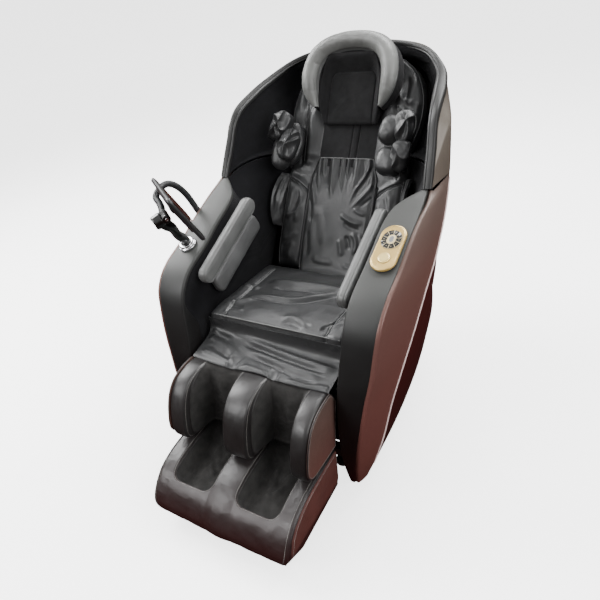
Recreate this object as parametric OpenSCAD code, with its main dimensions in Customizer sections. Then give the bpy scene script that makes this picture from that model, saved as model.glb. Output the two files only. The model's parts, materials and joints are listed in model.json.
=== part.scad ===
// Massage chair with a reclining hooded back, a lifting leg rest with a
// telescoping foot box, a massage carriage on guide rails and a swivelling
// tablet on the arm. Millimetres, +Z up, the sitter faces -Y, origin on the
// floor under the middle of the chair.

/* [Shell] */
// Wall thickness of the moulded outer shells
shell_t = 9; // [6:1:12]
// Gap between the fixed side panels and the reclining hood
seam_gap = 3; // [2:0.5:5]
// Recline pivot height above the floor
pivot_z = 420; // [415:1:425]

/* [Frame] */
// Width of the square frame tube
tube = 30; // [26:1:32]
// Diameter of the recline and leg rest pivot pins
pin_d = 16; // [12:1:18]
// Height of the levelling feet
foot_h = 38; // [36:1:40]
// Rear transport wheel diameter
wheel_d = 66; // [60:1:68]

/* [Cushions] */
// Half width of the seat cushion
seat_w = 238; // [225:1:242]
// Thickness of the back cushion
back_pad_t = 42; // [34:1:46]

/* [Leg rest] */
// Half width of the leg rest without its side panels
leg_w = 239; // [234:1:240]
// Width of each calf well
well_w = 128; // [118:1:130]
// Diameter of the foot rollers
foot_roller_d = 38; // [32:1:42]

/* [Massage drive] */
// Diameter of the kneading rollers
roller_d = 36; // [30:1:36]
// Diameter of the kneading shaft
shaft_d = 20; // [16:1:20]

/* [Controls] */
// Length of the control plate on the arm
pad_len = 154; // [146:1:160]
// Width of the control plate on the arm
pad_w = 72; // [66:1:76]
// Width of the tablet
tab_w = 238; // [220:1:240]
// Height of the tablet
tab_h = 160; // [150:1:168]
// Diameter of the flexible conduit to the tablet
conduit_d = 21; // [18:1:22]

/* [Hidden] */

$fn = 48;
oy = 103.6;              // the working frame below sits this far behind the origin
HY = 120;              // recline pivot, working frame
HZ = pivot_z;
RA = 397;              // radius of the seam between side panels and hood
LY = -405;             // leg rest pivot
LZ = 350;
BA = 56.2;             // angle of the back above the horizontal
slide_a = 9.9;         // lean of the foot box slide from the vertical

// ---------- helpers ----------
module cf() translate([0, oy, 0]) children();
// a profile drawn in y and z, carried along x from x0 to x1
module yz(x0, x1) translate([x0, 0, 0]) rotate([90, 0, 90]) linear_extrude(x1 - x0) children();
module mx(s) { if (s > 0) children(); else mirror([1, 0, 0]) children(); }
module both() { children(); mirror([1, 0, 0]) children(); }
// cylinder along x
module xcyl(d, x0, x1) translate([x0, 0, 0]) rotate([0, 90, 0]) cylinder(d = d, h = x1 - x0);
module rrect(w, h, r) {
    square([w - 2 * r, h], center = true);
    square([w, h - 2 * r], center = true);
    for (i = [-1, 1], j = [-1, 1]) translate([i * (w / 2 - r), j * (h / 2 - r)]) circle(r);
}
module pill(l, w) { square([w, l - w], center = true); for (j = [-1, 1]) translate([0, j * (l - w) / 2]) circle(w / 2); }
function mixv(a, b, t) = a + (b - a) * t;
function cross3(a, b) = [a[1] * b[2] - a[2] * b[1], a[2] * b[0] - a[0] * b[2], a[0] * b[1] - a[1] * b[0]];
function sumv(v, i = 0, s = 0) = i >= len(v) ? s : sumv(v, i + 1, s + v[i]);
function flat(l) = [for (a = l) each a];
function rev(f) = [for (t = f) [t[2], t[1], t[0]]];
function vol6(p, f) = sumv([for (t = f) p[t[0]] * cross3(p[t[1]], p[t[2]])]);
module solid(p, f) polyhedron(points = p, faces = vol6(p, f) > 0 ? rev(f) : f);
// thick patch between two grids of the same size
module patch(O, I) {
    m = len(O); n = len(O[0]); k = m * n;
    f = concat(
        [for (i = [0:m - 2], j = [0:n - 2]) each [[i * n + j, i * n + j + 1, (i + 1) * n + j + 1], [i * n + j, (i + 1) * n + j + 1, (i + 1) * n + j]]],
        [for (i = [0:m - 2], j = [0:n - 2]) each [[k + (i + 1) * n + j + 1, k + i * n + j + 1, k + i * n + j], [k + (i + 1) * n + j, k + (i + 1) * n + j + 1, k + i * n + j]]],
        [for (i = [0:m - 2]) each [[i * n, (i + 1) * n, k + (i + 1) * n], [i * n, k + (i + 1) * n, k + i * n]]],
        [for (i = [0:m - 2]) each [[k + (i + 1) * n + n - 1, (i + 1) * n + n - 1, i * n + n - 1], [k + i * n + n - 1, k + (i + 1) * n + n - 1, i * n + n - 1]]],
        [for (j = [0:n - 2]) each [[k + j + 1, j + 1, j], [k + j, k + j + 1, j]]],
        [for (j = [0:n - 2]) each [[(m - 1) * n + j, (m - 1) * n + j + 1, k + (m - 1) * n + j + 1], [(m - 1) * n + j, k + (m - 1) * n + j + 1, k + (m - 1) * n + j]]]);
    solid(concat(flat(O), flat(I)), f);
}
// tube of closed rings with flat fan ends
module tube_of(R) {
    m = len(R); n = len(R[0]);
    ctr = [for (e = [0, m - 1]) [for (a = [0:2]) sumv([for (q = R[e]) q[a]]) / n]];
    f = concat(
        [for (i = [0:m - 2], j = [0:n - 1]) each [[i * n + j, i * n + (j + 1) % n, (i + 1) * n + (j + 1) % n], [i * n + j, (i + 1) * n + (j + 1) % n, (i + 1) * n + j]]],
        [for (j = [0:n - 1]) [m * n, (j + 1) % n, j]],
        [for (j = [0:n - 1]) [m * n + 1, (m - 1) * n + j, (m - 1) * n + (j + 1) % n]]);
    solid(concat(flat(R), ctr), f);
}

// ---------- outline of the body ----------
// front edge of the outer skin at a height: half width and depth
function ex(z) = lookup(z, [[56, 291], [130, 305], [214, 319], [300, 334], [380, 347], [460, 362], [530, 370], [580, 375], [650, 378], [720, 377], [762, 377], [797, 371], [893, 364], [978, 357], [1018, 348], [1053, 318], [1095, 246], [1118, 126], [1125, 2]]);
function ey(z) = lookup(z, [[56, -472], [130, -488], [214, -494], [300, -488], [380, -474], [460, -455], [530, -437], [580, -420], [620, -390], [650, -347], [681, -271], [722, -189], [761, -97], [797, -6], [893, 47], [978, 104], [1018, 197], [1053, 297], [1095, 380], [1118, 433], [1125, 455]]);
// crease where the side panel turns in
function cx(z) = lookup(z, [[56, 303], [130, 330], [191, 345], [294, 361], [385, 376], [467, 387], [546, 394], [625, 398], [700, 398], [790, 395], [880, 391], [978, 384], [1018, 358], [1053, 323], [1095, 250], [1118, 128], [1125, 2]]);
function cy(z) = lookup(z, [[56, -432], [130, -412], [191, -387], [294, -348], [385, -288], [467, -218], [546, -142], [625, -50], [700, 20], [790, 77], [880, 106], [978, 135], [1018, 216], [1053, 309], [1095, 392], [1118, 445], [1125, 467]]);
// rear profile and how full the plan is
function ry(z) = lookup(z, [[56, 285], [100, 350], [200, 449], [300, 497], [400, 517], [430, 521], [500, 536], [560, 548], [700, 572], [860, 586], [1000, 590], [1040, 583], [1080, 562], [1110, 522], [1125, 472]]);
function pw(z) = lookup(z, [[300, 2.64], [400, 1.95], [496, 1.7], [546, 1.5], [625, 1.3], [700, 1.2], [790, 1.15]]);
// half width of the body at a depth and height
function W(y, z) = let (c = cy(z), e = ey(z)) y < c
    ? mixv(ex(z), cx(z), sin(90 * max(0, (y - e) / max(1, c - e))))
    : let (t = min(1, (y - c) / (ry(z) - c))) cx(z) * pow(max(0, 1 - pow(t, pw(z))), 0.5);
// depth at which the rear of the body has a given half width
function yw(x, z) = cy(z) + (ry(z) - cy(z)) * pow(max(0, 1 - pow(x / cx(z), 2)), 1 / pw(z));
function arc_y(r, z) = HY + sqrt(max(0, r * r - pow(z - HZ, 2)));
function pol(r, a) = [HY + r * cos(a), HZ + r * sin(a)];

// arm top and front profile, y and z, from the hood seam to the floor end
AP = [[-6, 797], [-50, 780], [-97, 761], [-189, 722], [-271, 681], [-347, 650], [-390, 620], [-420, 580], [-437, 530], [-455, 460], [-474, 380], [-488, 300], [-494, 214], [-488, 130], [-472, 56]];
AO = [371, 375, 377, 377, 377, 378, 378, 375, 370, 362, 347, 334, 319, 305, 291];
AI = [343, 300, 277, 273, 272, 272, 272, 271, 268, 261, 257, 257, 258, 260, 262];
AN = [for (i = [0:14]) let (a = AP[max(0, i - 1)], b = AP[min(14, i + 1)], d = b - a) [d[1], -d[0]] / norm(d)];  // outward

// rim of the hood, right half, from the seam to the top: half width, depth, height
RO = [[371, -5, 799], [368, 20, 845], [364, 47, 893], [360, 74, 938], [357, 104, 978], [354, 145, 1001], [348, 197, 1018], [336, 248, 1036], [318, 297, 1053], [287, 340, 1074], [246, 380, 1095], [192, 411, 1109], [126, 433, 1118], [64, 447, 1122], [0, 452, 1124]];
RI = [[345, -8, 797], [342, 18, 837], [339, 45, 876], [336, 68, 920], [332, 93, 957], [325, 134, 989], [316, 178, 1009], [306, 232, 1028], [293, 284, 1043], [268, 332, 1062], [236, 376, 1079], [186, 409, 1093], [125, 434, 1100], [63, 446, 1103], [0, 450, 1104]];

// ---------- fixed body ----------
module side_panel(s) cf() mx(s) color("#6d5a50") {
    n = 16;
    zt = [for (i = [0:n]) mixv(56, 797, i / n)];
    zc = [for (i = [0:n]) mixv(56, 812, i / n)];
    O = [for (i = [0:n]) let (e = [ex(zt[i]), ey(zt[i]), zt[i]], c = [cx(zc[i]), cy(zc[i]), zc[i]]) [for (j = [0:4]) mixv(e, c, j / 4) + [3 * sin(45 * j), 0, 0]]];
    I = [for (r = O) [for (j = [0:4]) r[j] + [-shell_t, 0, 0]]];
    patch(O, I);
}
module side_skirt(s) cf() mx(s) color("#3a2426") {
    n = 18; q = 8;
    O = [for (i = [0:n]) let (z = mixv(58, 809, i / n), c = cy(z) + 2, l = min(yw(236, z), z > HZ ? arc_y(RA - 2, z) : 2000), r = max(l, c + 12))
        [for (j = [0:q]) let (y = mixv(c, r, j / q)) [W(y, z) - 1, y, z]]];
    I = [for (r = O) [for (j = [0:q]) r[j] + [-shell_t * (1 - 0.8 * pow(j / q, 3)), 0, 0]]];
    patch(O, I);
}
module light_strip(s) cf() mx(s) color("#e8c9c6") {
    n = 22;
    z = [for (i = [0:n]) mixv(110, 800, i / n)];
    R = [for (i = [0:n]) let (c = [cx(z[i]), cy(z[i]), z[i]], d = [0, cy(z[i] + 5) - cy(z[i] - 5), 10], u = d / norm(d), v = [0, u[2], -u[1]])
        [c + [0.6, 0, 0] + v * 3.5, c + [1.8, 0, 0], c + [0.6, 0, 0] - v * 3.5]];
    tube_of([for (r = R) r]);
}
module arm_cap(s) cf() mx(s) color("#707472") {
    O = [for (i = [0:14]) let (n = AN[i], p = AP[i]) [for (j = [0:3]) let (q = p + n * (j == 1 || j == 2 ? 2.5 : 0)) [mixv(AI[i], AO[i] - 10, j / 3), q[0], q[1]]]];
    I = [for (i = [0:14]) let (n = AN[i], p = AP[i] - n * 13) [for (j = [0:3]) let (q = p + n * (j == 1 || j == 2 ? 2 : 0)) [mixv(AI[i] + 1, AO[i] - 12, j / 3), q[0], q[1]]]];
    patch(O, I);
}
module arm_liner(s) cf() mx(s) color("#1c1c1e")
    yz(257, 265) polygon([[60, 640], [0, 700], [-60, 738], [-97, 732], [-189, 696], [-271, 655], [-340, 626], [-376, 601], [-400, 566], [-414, 522], [-430, 458], [-440, 400], [-440, 330], [-80, 330], [60, 440]]);
module arm_airbag(s) cf() mx(s) color("#2a2b2d")
    yz(222, 257) translate([-195, 668]) rotate(23.7) rrect(340, 56, 27);
module hip_pad(s) cf() mx(s) color("#232425")
    yz(228, 257) translate([-165, 604]) rotate(23.7) rrect(290, 72, 22);
module seat_pan() cf() color("#444") {
    translate([-235, -340, 366]) cube([470, 330, 10]);
}
module seat_cushion() cf() color("#2b2c2e")
    yz(-seat_w, seat_w) polygon([[-352, 376], [-364, 420], [-364, 468], [-352, 490], [-320, 498], [-180, 492], [-60, 484], [-14, 476], [-6, 462], [-6, 376]]);
module seat_flap() cf() color("#2a2a2c")
    yz(-240, 240) polygon([[-366, 480], [-369, 440], [-392, 420], [-430, 411], [-456, 405], [-456, 409], [-430, 415], [-394, 424], [-373, 442], [-370, 480]]);
module tubes() {
    t = tube;
    z0 = foot_h;
    both() {
        translate([170, -385, z0]) cube([t, 600, t]);
        translate([170, -330, z0 + t]) cube([t, t, 366 - z0 - t]);
        translate([170, -385, 336]) cube([t, 480, t]);
        translate([170, 92, z0 + t]) cube([t, 56, 300]);
        // outrigger and recline pivot plate
        translate([190, 92, 250]) cube([40, 56, t]);
        difference() {
            yz(220, 230) polygon([[92, 250], [148, 250], [148, 440], [136, 452], [104, 452], [92, 440]]);
            translate([0, HY, HZ]) xcyl(pin_d, 210, 240);
        }
        // leg rest pivot plate
        translate([190, -385, 332]) cube([40, 40, 26]);
        // brackets that carry the side shells and the arm liners
        translate([190, -330, z0 + 20]) cube([109, 22, 20]);
        translate([190, 100, 180]) cube([99, 30, 20]);
        translate([190, -300, 340]) cube([67, 30, 20]);
        difference() {
            yz(220, 230) polygon([[-425, 330], [-345, 330], [-345, 358], [-385, 372], [-425, 372]]);
            translate([0, LY, LZ]) xcyl(pin_d, 210, 240);
        }
    }
    translate([-200, -385, z0]) cube([400, t, t]);
    translate([-200, 185, z0]) cube([400, t, t]);
    translate([-200, -330, 336]) cube([400, t, t]);
    translate([-200, 40, 336]) cube([400, t, t]);
    translate([-200, -60, z0]) cube([400, t, t]);
    // trays under the pump and the control box
    translate([-190, -220, 66]) cube([380, 120, 4]);
    translate([-190, 60, 66]) cube([380, 112, 4]);
}
module base_frame() cf() color("#3b3d40") difference() {
    tubes();
    both() for (y = [-370, 200]) translate([185, y, foot_h - 1]) cylinder(d = 12, h = 20);
}
module levelling_feet() cf() color("#1d1d1f") both() for (y = [-370, 200]) translate([185, y, 0]) {
    cylinder(d = 46, h = 12);
    cylinder(d = 11.9, h = foot_h + 15);
}
WY = 252; WZ = wheel_d / 2 + 4; 
module wheel_bracket() cf() color("#555") {
    both() for (x = [132, 168]) difference() {
        yz(x, x + 4) polygon([[215, 39], [WY + 14, 26], [WY + 14, 50], [215, 67]]);
        translate([0, WY, WZ]) xcyl(10.1, x - 1, x + 5);
    }
    both() { translate([132, 215, 39]) cube([40, 4, 28]); translate([0, WY, WZ]) xcyl(10, 130, 175); }
}
module wheel(s) cf() mx(s) color("#222") translate([0, WY, WZ]) difference() {
    union() { xcyl(wheel_d, 140, 164); xcyl(24, 137.5, 166.5); }
    xcyl(10.1, 130, 175);
}
module base_cover() cf() color("#2a1d1f") yz(-232, 232) polygon(concat(
    [for (a = [-12:-8:-52]) pol(210, a)], [[266, 226], [272, 180], [272, 78], [264, 78], [264, 178], [258, 222]],
    [for (a = [-52:8:-12]) pol(202, a)]));
module control_box() cf() color("#2f3a33") {
    translate([-60, 60, 70]) cube([170, 110, 70]);
    translate([-50, 75, 140]) cube([150, 80, 6]);
    for (x = [-40:30:80]) translate([x, 172, 90]) rotate([90, 0, 0]) cylinder(d = 12, h = 3);
}
module air_pump() cf() color("#4a4a4e") {
    translate([-90, -220, 70]) cube([180, 120, 80]);
    translate([-45, -160, 150]) cylinder(d = 50, h = 26);
    translate([45, -160, 150]) cylinder(d = 50, h = 26);
    for (x = [-70:28:70]) translate([x, -219, 120]) rotate([90, 0, 0]) cylinder(d = 9, h = 14);
}
module power_inlet() cf() color("#151515") translate([-130, 272, 120]) difference() {
    translate([-27, 0, -18]) cube([54, 4, 36]);
    translate([-14, -1, -10]) cube([28, 6, 20]);
}
module power_switch() cf() color("#a01c1c") translate([-60, 0, 120])
    yz(-9, 9) union() {
        polygon([[272.9, -13], [276, -13], [277.5, 0], [281, 13], [276.6, 13], [273, 1]]);
        translate([274.4, 0]) circle(1.5);
    }
module recline_pins() cf() color("silver") both() translate([0, HY, HZ]) {
    xcyl(pin_d - 0.06, 203, 234); xcyl(26, 230.2, 235);
}
module leg_rest_pins() cf() color("silver") both() translate([0, LY, LZ]) {
    xcyl(pin_d - 0.06, 203, 234); xcyl(26, 230.2, 235);
}

// ---------- controls ----------
arm_a = 23.5;           // slope of the arm top
module on_arm(x, y, z) cf() translate([x, y, z]) rotate([arm_a, 0, 0]) children();
PX = 324; PY = -215; PZ = 714.4;
module control_plate() on_arm(PX, PY, PZ) color("#c9ab5e") difference() {
    linear_extrude(7) pill(pad_len, pad_w);
    translate([0, 26, 3]) linear_extrude(6) difference() { scale_pill(58, 50); scale_pill(30.4, 22.4); }
    translate([0, 26, 3]) linear_extrude(6) scale_pill(26.4, 18.4);
    translate([0, -36, 3]) cylinder(d = 34.6, h = 6);
}
module scale_pill(l, w) pill(l, w);
module ring_key() on_arm(PX, PY, PZ) color("#1c1c1c") translate([0, 26, 4.6]) linear_extrude(3.4) difference() { scale_pill(57.2, 49.2); scale_pill(31.2, 23.2); }
module centre_key() on_arm(PX, PY, PZ) color("#8d8f92") translate([0, 26, 4.6]) linear_extrude(3.6) scale_pill(25.6, 17.6);
module round_key() on_arm(PX, PY, PZ) color("#d9c07a") translate([0, -36, 4.6]) { cylinder(d = 33.8, h = 3.2); cylinder(d = 26, h = 4); }

TR = [-328, -284, 681];                    // base ring centre on the arm top
TH = [-304, -364, 816];                    // hub centre
TN = [0.558, 0.763, 0.327];                // the screen faces this way
tab_off = 16;                              // sideways offset of the tablet on its hub
module tablet_base_ring() cf() color("#c8c8cc") translate(TR) rotate([arm_a, 0, 0]) difference() {
    union() { cylinder(d = 58, h = 7); cylinder(d = 46, h = 15); }
    translate([0, 0, 2]) cylinder(d = 34, h = 20);
}
module tablet_stand() cf() color("#141414") {
    d = TH - TR; l = norm(d);
    translate(TR) rotate([arm_a, 0, 0]) translate([0, 0, 2.4]) cylinder(d = 33.9, h = 19.6);
    translate(TR) multi(d) { translate([0, 0, 20]) cylinder(d = 30, h = l * 0.55); translate([0, 0, l * 0.6]) cylinder(d1 = 30, d2 = 44, h = l * 0.36); }
    translate(TH) sphere(d = 50);
    // barrel of the tilt hinge, level, along the tablet's width
    translate(TH) multi([-TN[1], TN[0], 0]) translate([0, 0, -27]) cylinder(d = 26, h = 54);
    translate(TH) multi(TN) translate([0, 0, -40]) cylinder(d = 46, h = 32);
}
// turn +z onto a direction
module multi(d) rotate([0, acos(d[2] / norm(d)), atan2(d[1], d[0])]) children();
module on_tab() cf() translate(TH + TN * 44) rotate([0, 0, atan2(TN[1], TN[0]) + 90]) rotate([acos(TN[2] / norm(TN)), 0, 0]) children();
module tablet_housing() color("#55585a") on_tab() {
    // the tablet hangs off its hub by a little, clear of the conduit
    translate([-tab_off, 0, -8]) linear_extrude(13) rrect(tab_w, tab_h, 16);
    translate([-tab_off, 0, -13]) linear_extrude(5) rrect(tab_w * 0.72, tab_h * 0.7, 20);
    translate([0, 0, -18]) cylinder(d = 20, h = 6);
}
module tablet_screen() color("#0d0f12") on_tab() translate([-tab_off, 0, 5.2]) linear_extrude(1.6) rrect(tab_w - 10, tab_h - 10, 12);

// conduit route from the hub to the gland on the side panel
CR = [[-326.0, -347.9, 816.0], [-334.7, -341.6, 816.0], [-351.9, -324.4, 826.8], [-370.6, -312.8, 837.8], [-386.5, -302, 846], [-388.5, -286, 857], [-388.5, -262, 865], [-388, -236, 862], [-386, -210, 845], [-386, -184, 815], [-387, -162, 777], [-387, -146, 740], [-386, -134, 712], [-385, -127, 694]];
module conduit() color("#161616") cf() {
    n = len(CR); r = conduit_d / 2;
    tube_of([for (i = [0:n - 1]) let (a = CR[max(0, i - 1)], b = CR[min(n - 1, i + 1)], t = (b - a) / norm(b - a),
        u0 = cross3(t, [1, 0, 0]), u = u0 / norm(u0), v = cross3(t, u)) [for (k = [0:45:315]) CR[i] + r * (cos(k) * u + sin(k) * v)]]);
}
module conduit_gland() color("#111") cf() translate([-385, -127, 694]) rotate([-18, 0, 0]) translate([0, 0, -26]) cylinder(d = 25, h = 25.5);

// ---------- reclining back ----------
// the back's own frame: x across, local z up along the back, local -y towards the sitter
module bk() cf() translate([0, HY, HZ]) rotate([-(90 - BA), 0, 0]) children();
module back_frame() color("#3b3d40") bk() {
    both() {
        difference() {
            yz(206, 214) polygon([[-30, -34], [20, -34], [34, -10], [34, 120], [-4, 120], [-30, 20]]);
            xcyl(pin_d, 190, 220);
        }
        translate([182, 4, 30]) cube([24.5, 24, 490]);
    }
    for (z = [60, 300, 496]) translate([-206, 28, z]) cube([412, 12, 24]);
}
module guide_rails() color("#7c8086") bk() both() {
    translate([158, 2, 60]) cube([14, 18, 530]);
    for (z = [96:26:580]) translate([154.5, 4, z]) cube([4, 8, 8]);
    for (z = [60, 300, 496]) translate([158, 20, z]) cube([14, 8, 24]);
}
module massage_carriage() color("#5c6066") bk() translate([0, 0, 110]) {
    both() {
        difference() {
            translate([128, -42, 0]) cube([10, 56, 130]);
            translate([0, -24, 65]) xcyl(shaft_d + 0.1, 120, 145);
        }
        for (z = [14, 106]) translate([138, -8, z]) cube([36, 9.6, 10]);
    }
    translate([-128.2, 6, 0]) cube([256.4, 8, 10]);
    translate([-128.2, 6, 120]) cube([256.4, 8, 10]);
}
module kneading_shaft() color("#9a9da1") bk() translate([0, -24, 175]) {
    xcyl(shaft_d, -137, 137);
    for (s = [-1, 1]) translate([s * 62, 0, 0])
        yz(-6, 6) union() { circle(17); translate([-6, 0]) square([12, 32]); translate([0, 32]) circle(10); }
    for (s = [-1, 1]) translate([0, 0, 32]) mx(s) xcyl(7.9, 60, 92);
}
module massage_roller(s) color("#b9a27c") bk() translate([0, -24, 175 + 32]) mx(s) difference() { xcyl(roller_d, 70, 88); xcyl(8, 60, 100); }
module lift_motor() color("#3f4348") bk() {
    translate([-34, 14, 112]) cube([68, 12, 46]);
    translate([0, 21.5, 136]) { xcyl(9, -152, 152); both() xcyl(12, 141, 153); }
}

function hrm(a) = lookup(a, [[64.9, 778], [65.9, 765], [68.9, 723], [74.4, 657], [82.7, 603], [91.6, 558], [98.8, 478.5], [108.6, 399.5]]);
function rmax(a, lo = 395, hi = 900, k = 22) = k == 0 ? lo : let (m = (lo + hi) / 2, p = pol(m, a)) (p[1] < 1124 && p[0] < ry(p[1])) ? rmax(a, m, hi, k - 1) : rmax(a, lo, m, k - 1);
module hood_half() {
    r0 = RA + seam_gap / 2; nk = 9;
    A = [33.4, 36, 39, 42.5, 46, 49, 52, 55, 58, 61, 63.5, 64.8, 68, 72, 77, 82.7, 88, 93, 98, 103, 107.6];
    O = [for (a = A) let (rm = a < 65.1 ? rmax(a) : hrm(a), rs = max(r0, (707 - HZ) / sin(a))) [for (k = [0:nk]) let (r = mixv(rs, rm, sin(90 * k / nk)), p = pol(r, a)) [a < 65.1 && k == nk ? 0 : min(W(p[0], p[1]), 395), p[0], p[1]]]];
    I = [for (i = [0:len(A) - 1]) let (a = A[i]) [for (k = [0:nk]) let (o = O[i][k], f = a < 65.1 ? pow(k / nk, 2) : 0.35 * pow(k / nk, 2)) [o[0] * (395 - shell_t) / 395, o[1] - shell_t * f * cos(a), o[2] - shell_t * f * sin(a)]]];
    patch(O, I);
}
module hood_shell() color("#5d4b44") cf() { hood_half(); mirror([1, 0, 0]) hood_half(); }
module back_cover() color("#4a3536") cf() {
    O = [for (i = [0:12]) let (z = mixv(436, 704, i / 12)) [for (j = [-8:8]) let (x = 231 * sin(90 * j / 8), y0 = z > 690 ? 392 : 0) [x, max(yw(abs(x), z), y0), z]]];
    I = [for (r = O) [for (p = r) [p[0] * 0.965, p[1] - shell_t, p[2]]]];
    patch(O, I);
}
module hood_rim() color("#777b79") cf() {
    rim_half(); mirror([1, 0, 0]) rim_half();
}
module rim_half() tube_of([for (i = [0:14]) let (o = RO[i], n = RI[i], q = [mixv(n[0], o[0], 0.5), 0, 0])
    i == 0 ? [o + [-0.5, -1, 2], n + [0, -1, 4], n + [2, 6, 4], o + [-11, 7, 4]] :
    i == 14 ? [o + [0, -4, 1], n + [0, -4, 2], n + [0, 4, -8], o + [0, 8, -6]]
            : [o + [-0.5, -1, 0], n + [0, -2, 1], n + [2, 9, -6], o + [-11, 10, -7]]]);
// moves a point outside the seam radius, straight away from the recline pivot
function out_r(p, r) = let (d = [p[1] - HY, p[2] - HZ], l = norm(d)) l >= r ? p : [p[0], HY + d[0] * r / l, HZ + d[1] * r / l];
LQ = [232, 232, 233, 237, 241, 249, 254, 253, 245, 226, 190, 158, 110, 55, 0];   // half width where the lining tucks behind the cushion
module lining_half() {
    // dark inner wall of the hood, right half: from the rim back to the edge of the cushions
    n = 14;
    O = [for (i = [0:n]) let (rm = 400.5 + 6 * min(i, 5), o = out_r(RI[i] + [i == n ? 0 : -3, 6, i > 9 ? -7.8 : -6], rm + 1.5), dy = o[1] - HY, dz = o[2] - HZ,
        s = dy * cos(BA) + dz * sin(BA), sq = min(s - 14, 706),
        B = out_r([LQ[i], HY + sq * cos(BA) - 84 * sin(BA), HZ + sq * sin(BA) + 84 * cos(BA)], rm),
        C = [mixv(o[0], B[0], 0.12), mixv(o[1], B[1], 0.75), mixv(o[2], B[2], 0.75)])
        [for (j = [0:5]) let (t = j / 5) out_r(o * pow(1 - t, 2) + C * (2 * t * (1 - t)) + B * pow(t, 2), rm)]];
    // the wall's back, 3 mm further from a point in the middle of the hood's mouth
    I = [for (i = [0:n]) [for (j = [0:5]) let (p = O[i][j], v = p - [0, 100, 820]) i == n ? [0, p[1] + v[1] * (3 / norm(v)), p[2] + v[2] * (3 / norm(v))] : p + v * (3 / norm(v))]];
    patch(O, I);
}
module hood_lining() color("#17171a") cf() { lining_half(); mirror([1, 0, 0]) lining_half(); }
// half outline of the back cushion: half width and distance along the back
BO = [[218, -22], [226, 60], [226, 390], [238, 440], [248, 530], [236, 600], [205, 655], [150, 700]];
module back_cushion() color("#2b2c2e") bk() translate([0, -132 + back_pad_t, 0]) rotate([90, 0, 0])
    linear_extrude(back_pad_t) polygon(concat(BO, [for (i = [len(BO) - 1:-1:0]) [-BO[i][0], BO[i][1]]]));
module headrest_pad() color("#1b1b1d") bk() translate([-92, -190, 476]) cube([184, 58, 170]);
module head_pillow() color("#4b4d4e") bk() translate([0, -190, 628]) rotate([90, 0, 0]) linear_extrude(46) difference() {
    rrect(330, 254, 110);
    translate([0, -50]) rrect(190, 230, 80);
}
module shoulder_airbags() color("#262729") bk() both() translate([0, 0, 332]) linear_extrude(154)
    polygon([[158, -145], [228, -145], [252, -192], [270, -244], [266, -250], [158, -250]]);

// ---------- leg rest ----------
CW = [50, 50 + well_w];      // inner and outer edge of a calf well
module lobe_profile() polygon([[-476, 400], [-537, 394], [-576, 380], [-604, 350], [-628, 302], [-639, 258], [-639, 226], [-628, 213], [-600, 211], [-503, 206]]);
module leg_rest_frame() cf() color("#3b3d40") {
    both() difference() {
        yz(206, 214) polygon([[-391, 341], [-391, 360], [-406, 367], [-455, 367], [-470, 300], [-455, 300], [-425, 334]]);
        translate([0, LY, LZ]) xcyl(pin_d, 190, 230);
    }
    difference() {
        yz(-CW[1] - 50, CW[1] + 50) polygon([[-449, 372], [-473, 398], [-502, 204], [-484, 204], [-452, 340]]);
        both() translate([208, -494, 204]) rotate([-slide_a, 0, 0]) translate([0, 0, -6]) cylinder(d = 10.1, h = 170);
    }
}
module calf_cushions() cf() color("#2d2a2b") {
    both() yz(CW[1] + 2, leg_w - 1) lobe_profile();
    yz(-CW[0] + 2, CW[0] - 2) lobe_profile();
    both() yz(CW[0] - 2, CW[1] + 2) polygon([[-476, 396], [-492, 392], [-512, 300], [-517, 214], [-503, 206]]);
}
module calf_side_panels() cf() color("#5a4740") both() yz(leg_w - 0.5, leg_w + 3) polygon([[-448, 360], [-476, 402], [-537, 396], [-578, 382], [-606, 351], [-630, 302], [-641, 258], [-641, 224], [-630, 212], [-600, 210], [-487, 204]]);
FP = [[-486, 199], [-500, 199], [-590, 194], [-655, 188], [-702, 174], [-742, 152], [-772, 118], [-790, 84], [-796, 60], [-786, 45], [-689, 41], [-594, 45], [-498, 52]];
module foot_box() cf() color("#2e2a2b") {
    both() translate([208, -494, 204]) rotate([-slide_a, 0, 0]) translate([0, 0, -46]) cylinder(d = 10, h = 196);
    difference() {
    yz(-leg_w - 3, leg_w + 3) polygon(FP);
    both() yz(CW[0], CW[1]) polygon([[-520, 66], [-722, 66], [-736, 140], [-736, 260], [-490, 260], [-490, 190], [-520, 180]]);
    both() translate([0, -610, 92]) xcyl(8, CW[0] - 12, CW[1] + 12);
    }
}
module foot_liners() cf() color("#1b1b1c") both() yz(CW[0] + 1, CW[1] - 1) polygon([[-521, 176], [-521, 148], [-729, 112], [-732, 126], [-640, 140]]);
module foot_rollers() cf() color("#8d6f4a") both() translate([0, -610, 92]) {
    xcyl(7.92, CW[0] - 10, CW[1] + 10);
    for (x = [CW[0] + 12:30:CW[1] - 24]) xcyl(foot_roller_d, x, x + 18);
}

base_frame();
levelling_feet();
wheel_bracket();
wheel(1);  // wheel_left
wheel(-1);  // wheel_right
side_panel(1);  // side_panel_left
side_panel(-1);  // side_panel_right
side_skirt(1);  // side_skirt_left
side_skirt(-1);  // side_skirt_right
light_strip(1);  // light_strip_left
light_strip(-1);  // light_strip_right
arm_cap(1);  // arm_cap_left
arm_cap(-1);  // arm_cap_right
arm_liner(1);  // arm_liner_left
arm_liner(-1);  // arm_liner_right
arm_airbag(1);  // arm_airbag_left
arm_airbag(-1);  // arm_airbag_right
hip_pad(1);  // hip_pad_left
hip_pad(-1);  // hip_pad_right
seat_pan();
seat_cushion();
seat_flap();
base_cover();
control_box();
air_pump();
power_inlet();
power_switch();
recline_pins();
leg_rest_pins();
control_plate();
ring_key();
centre_key();
round_key();
tablet_base_ring();
tablet_stand();
tablet_housing();
tablet_screen();
conduit();
conduit_gland();
back_frame();
guide_rails();
massage_carriage();
kneading_shaft();
massage_roller(1);  // massage_roller_left
massage_roller(-1);  // massage_roller_right
lift_motor();
hood_shell();
back_cover();
hood_rim();
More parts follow.
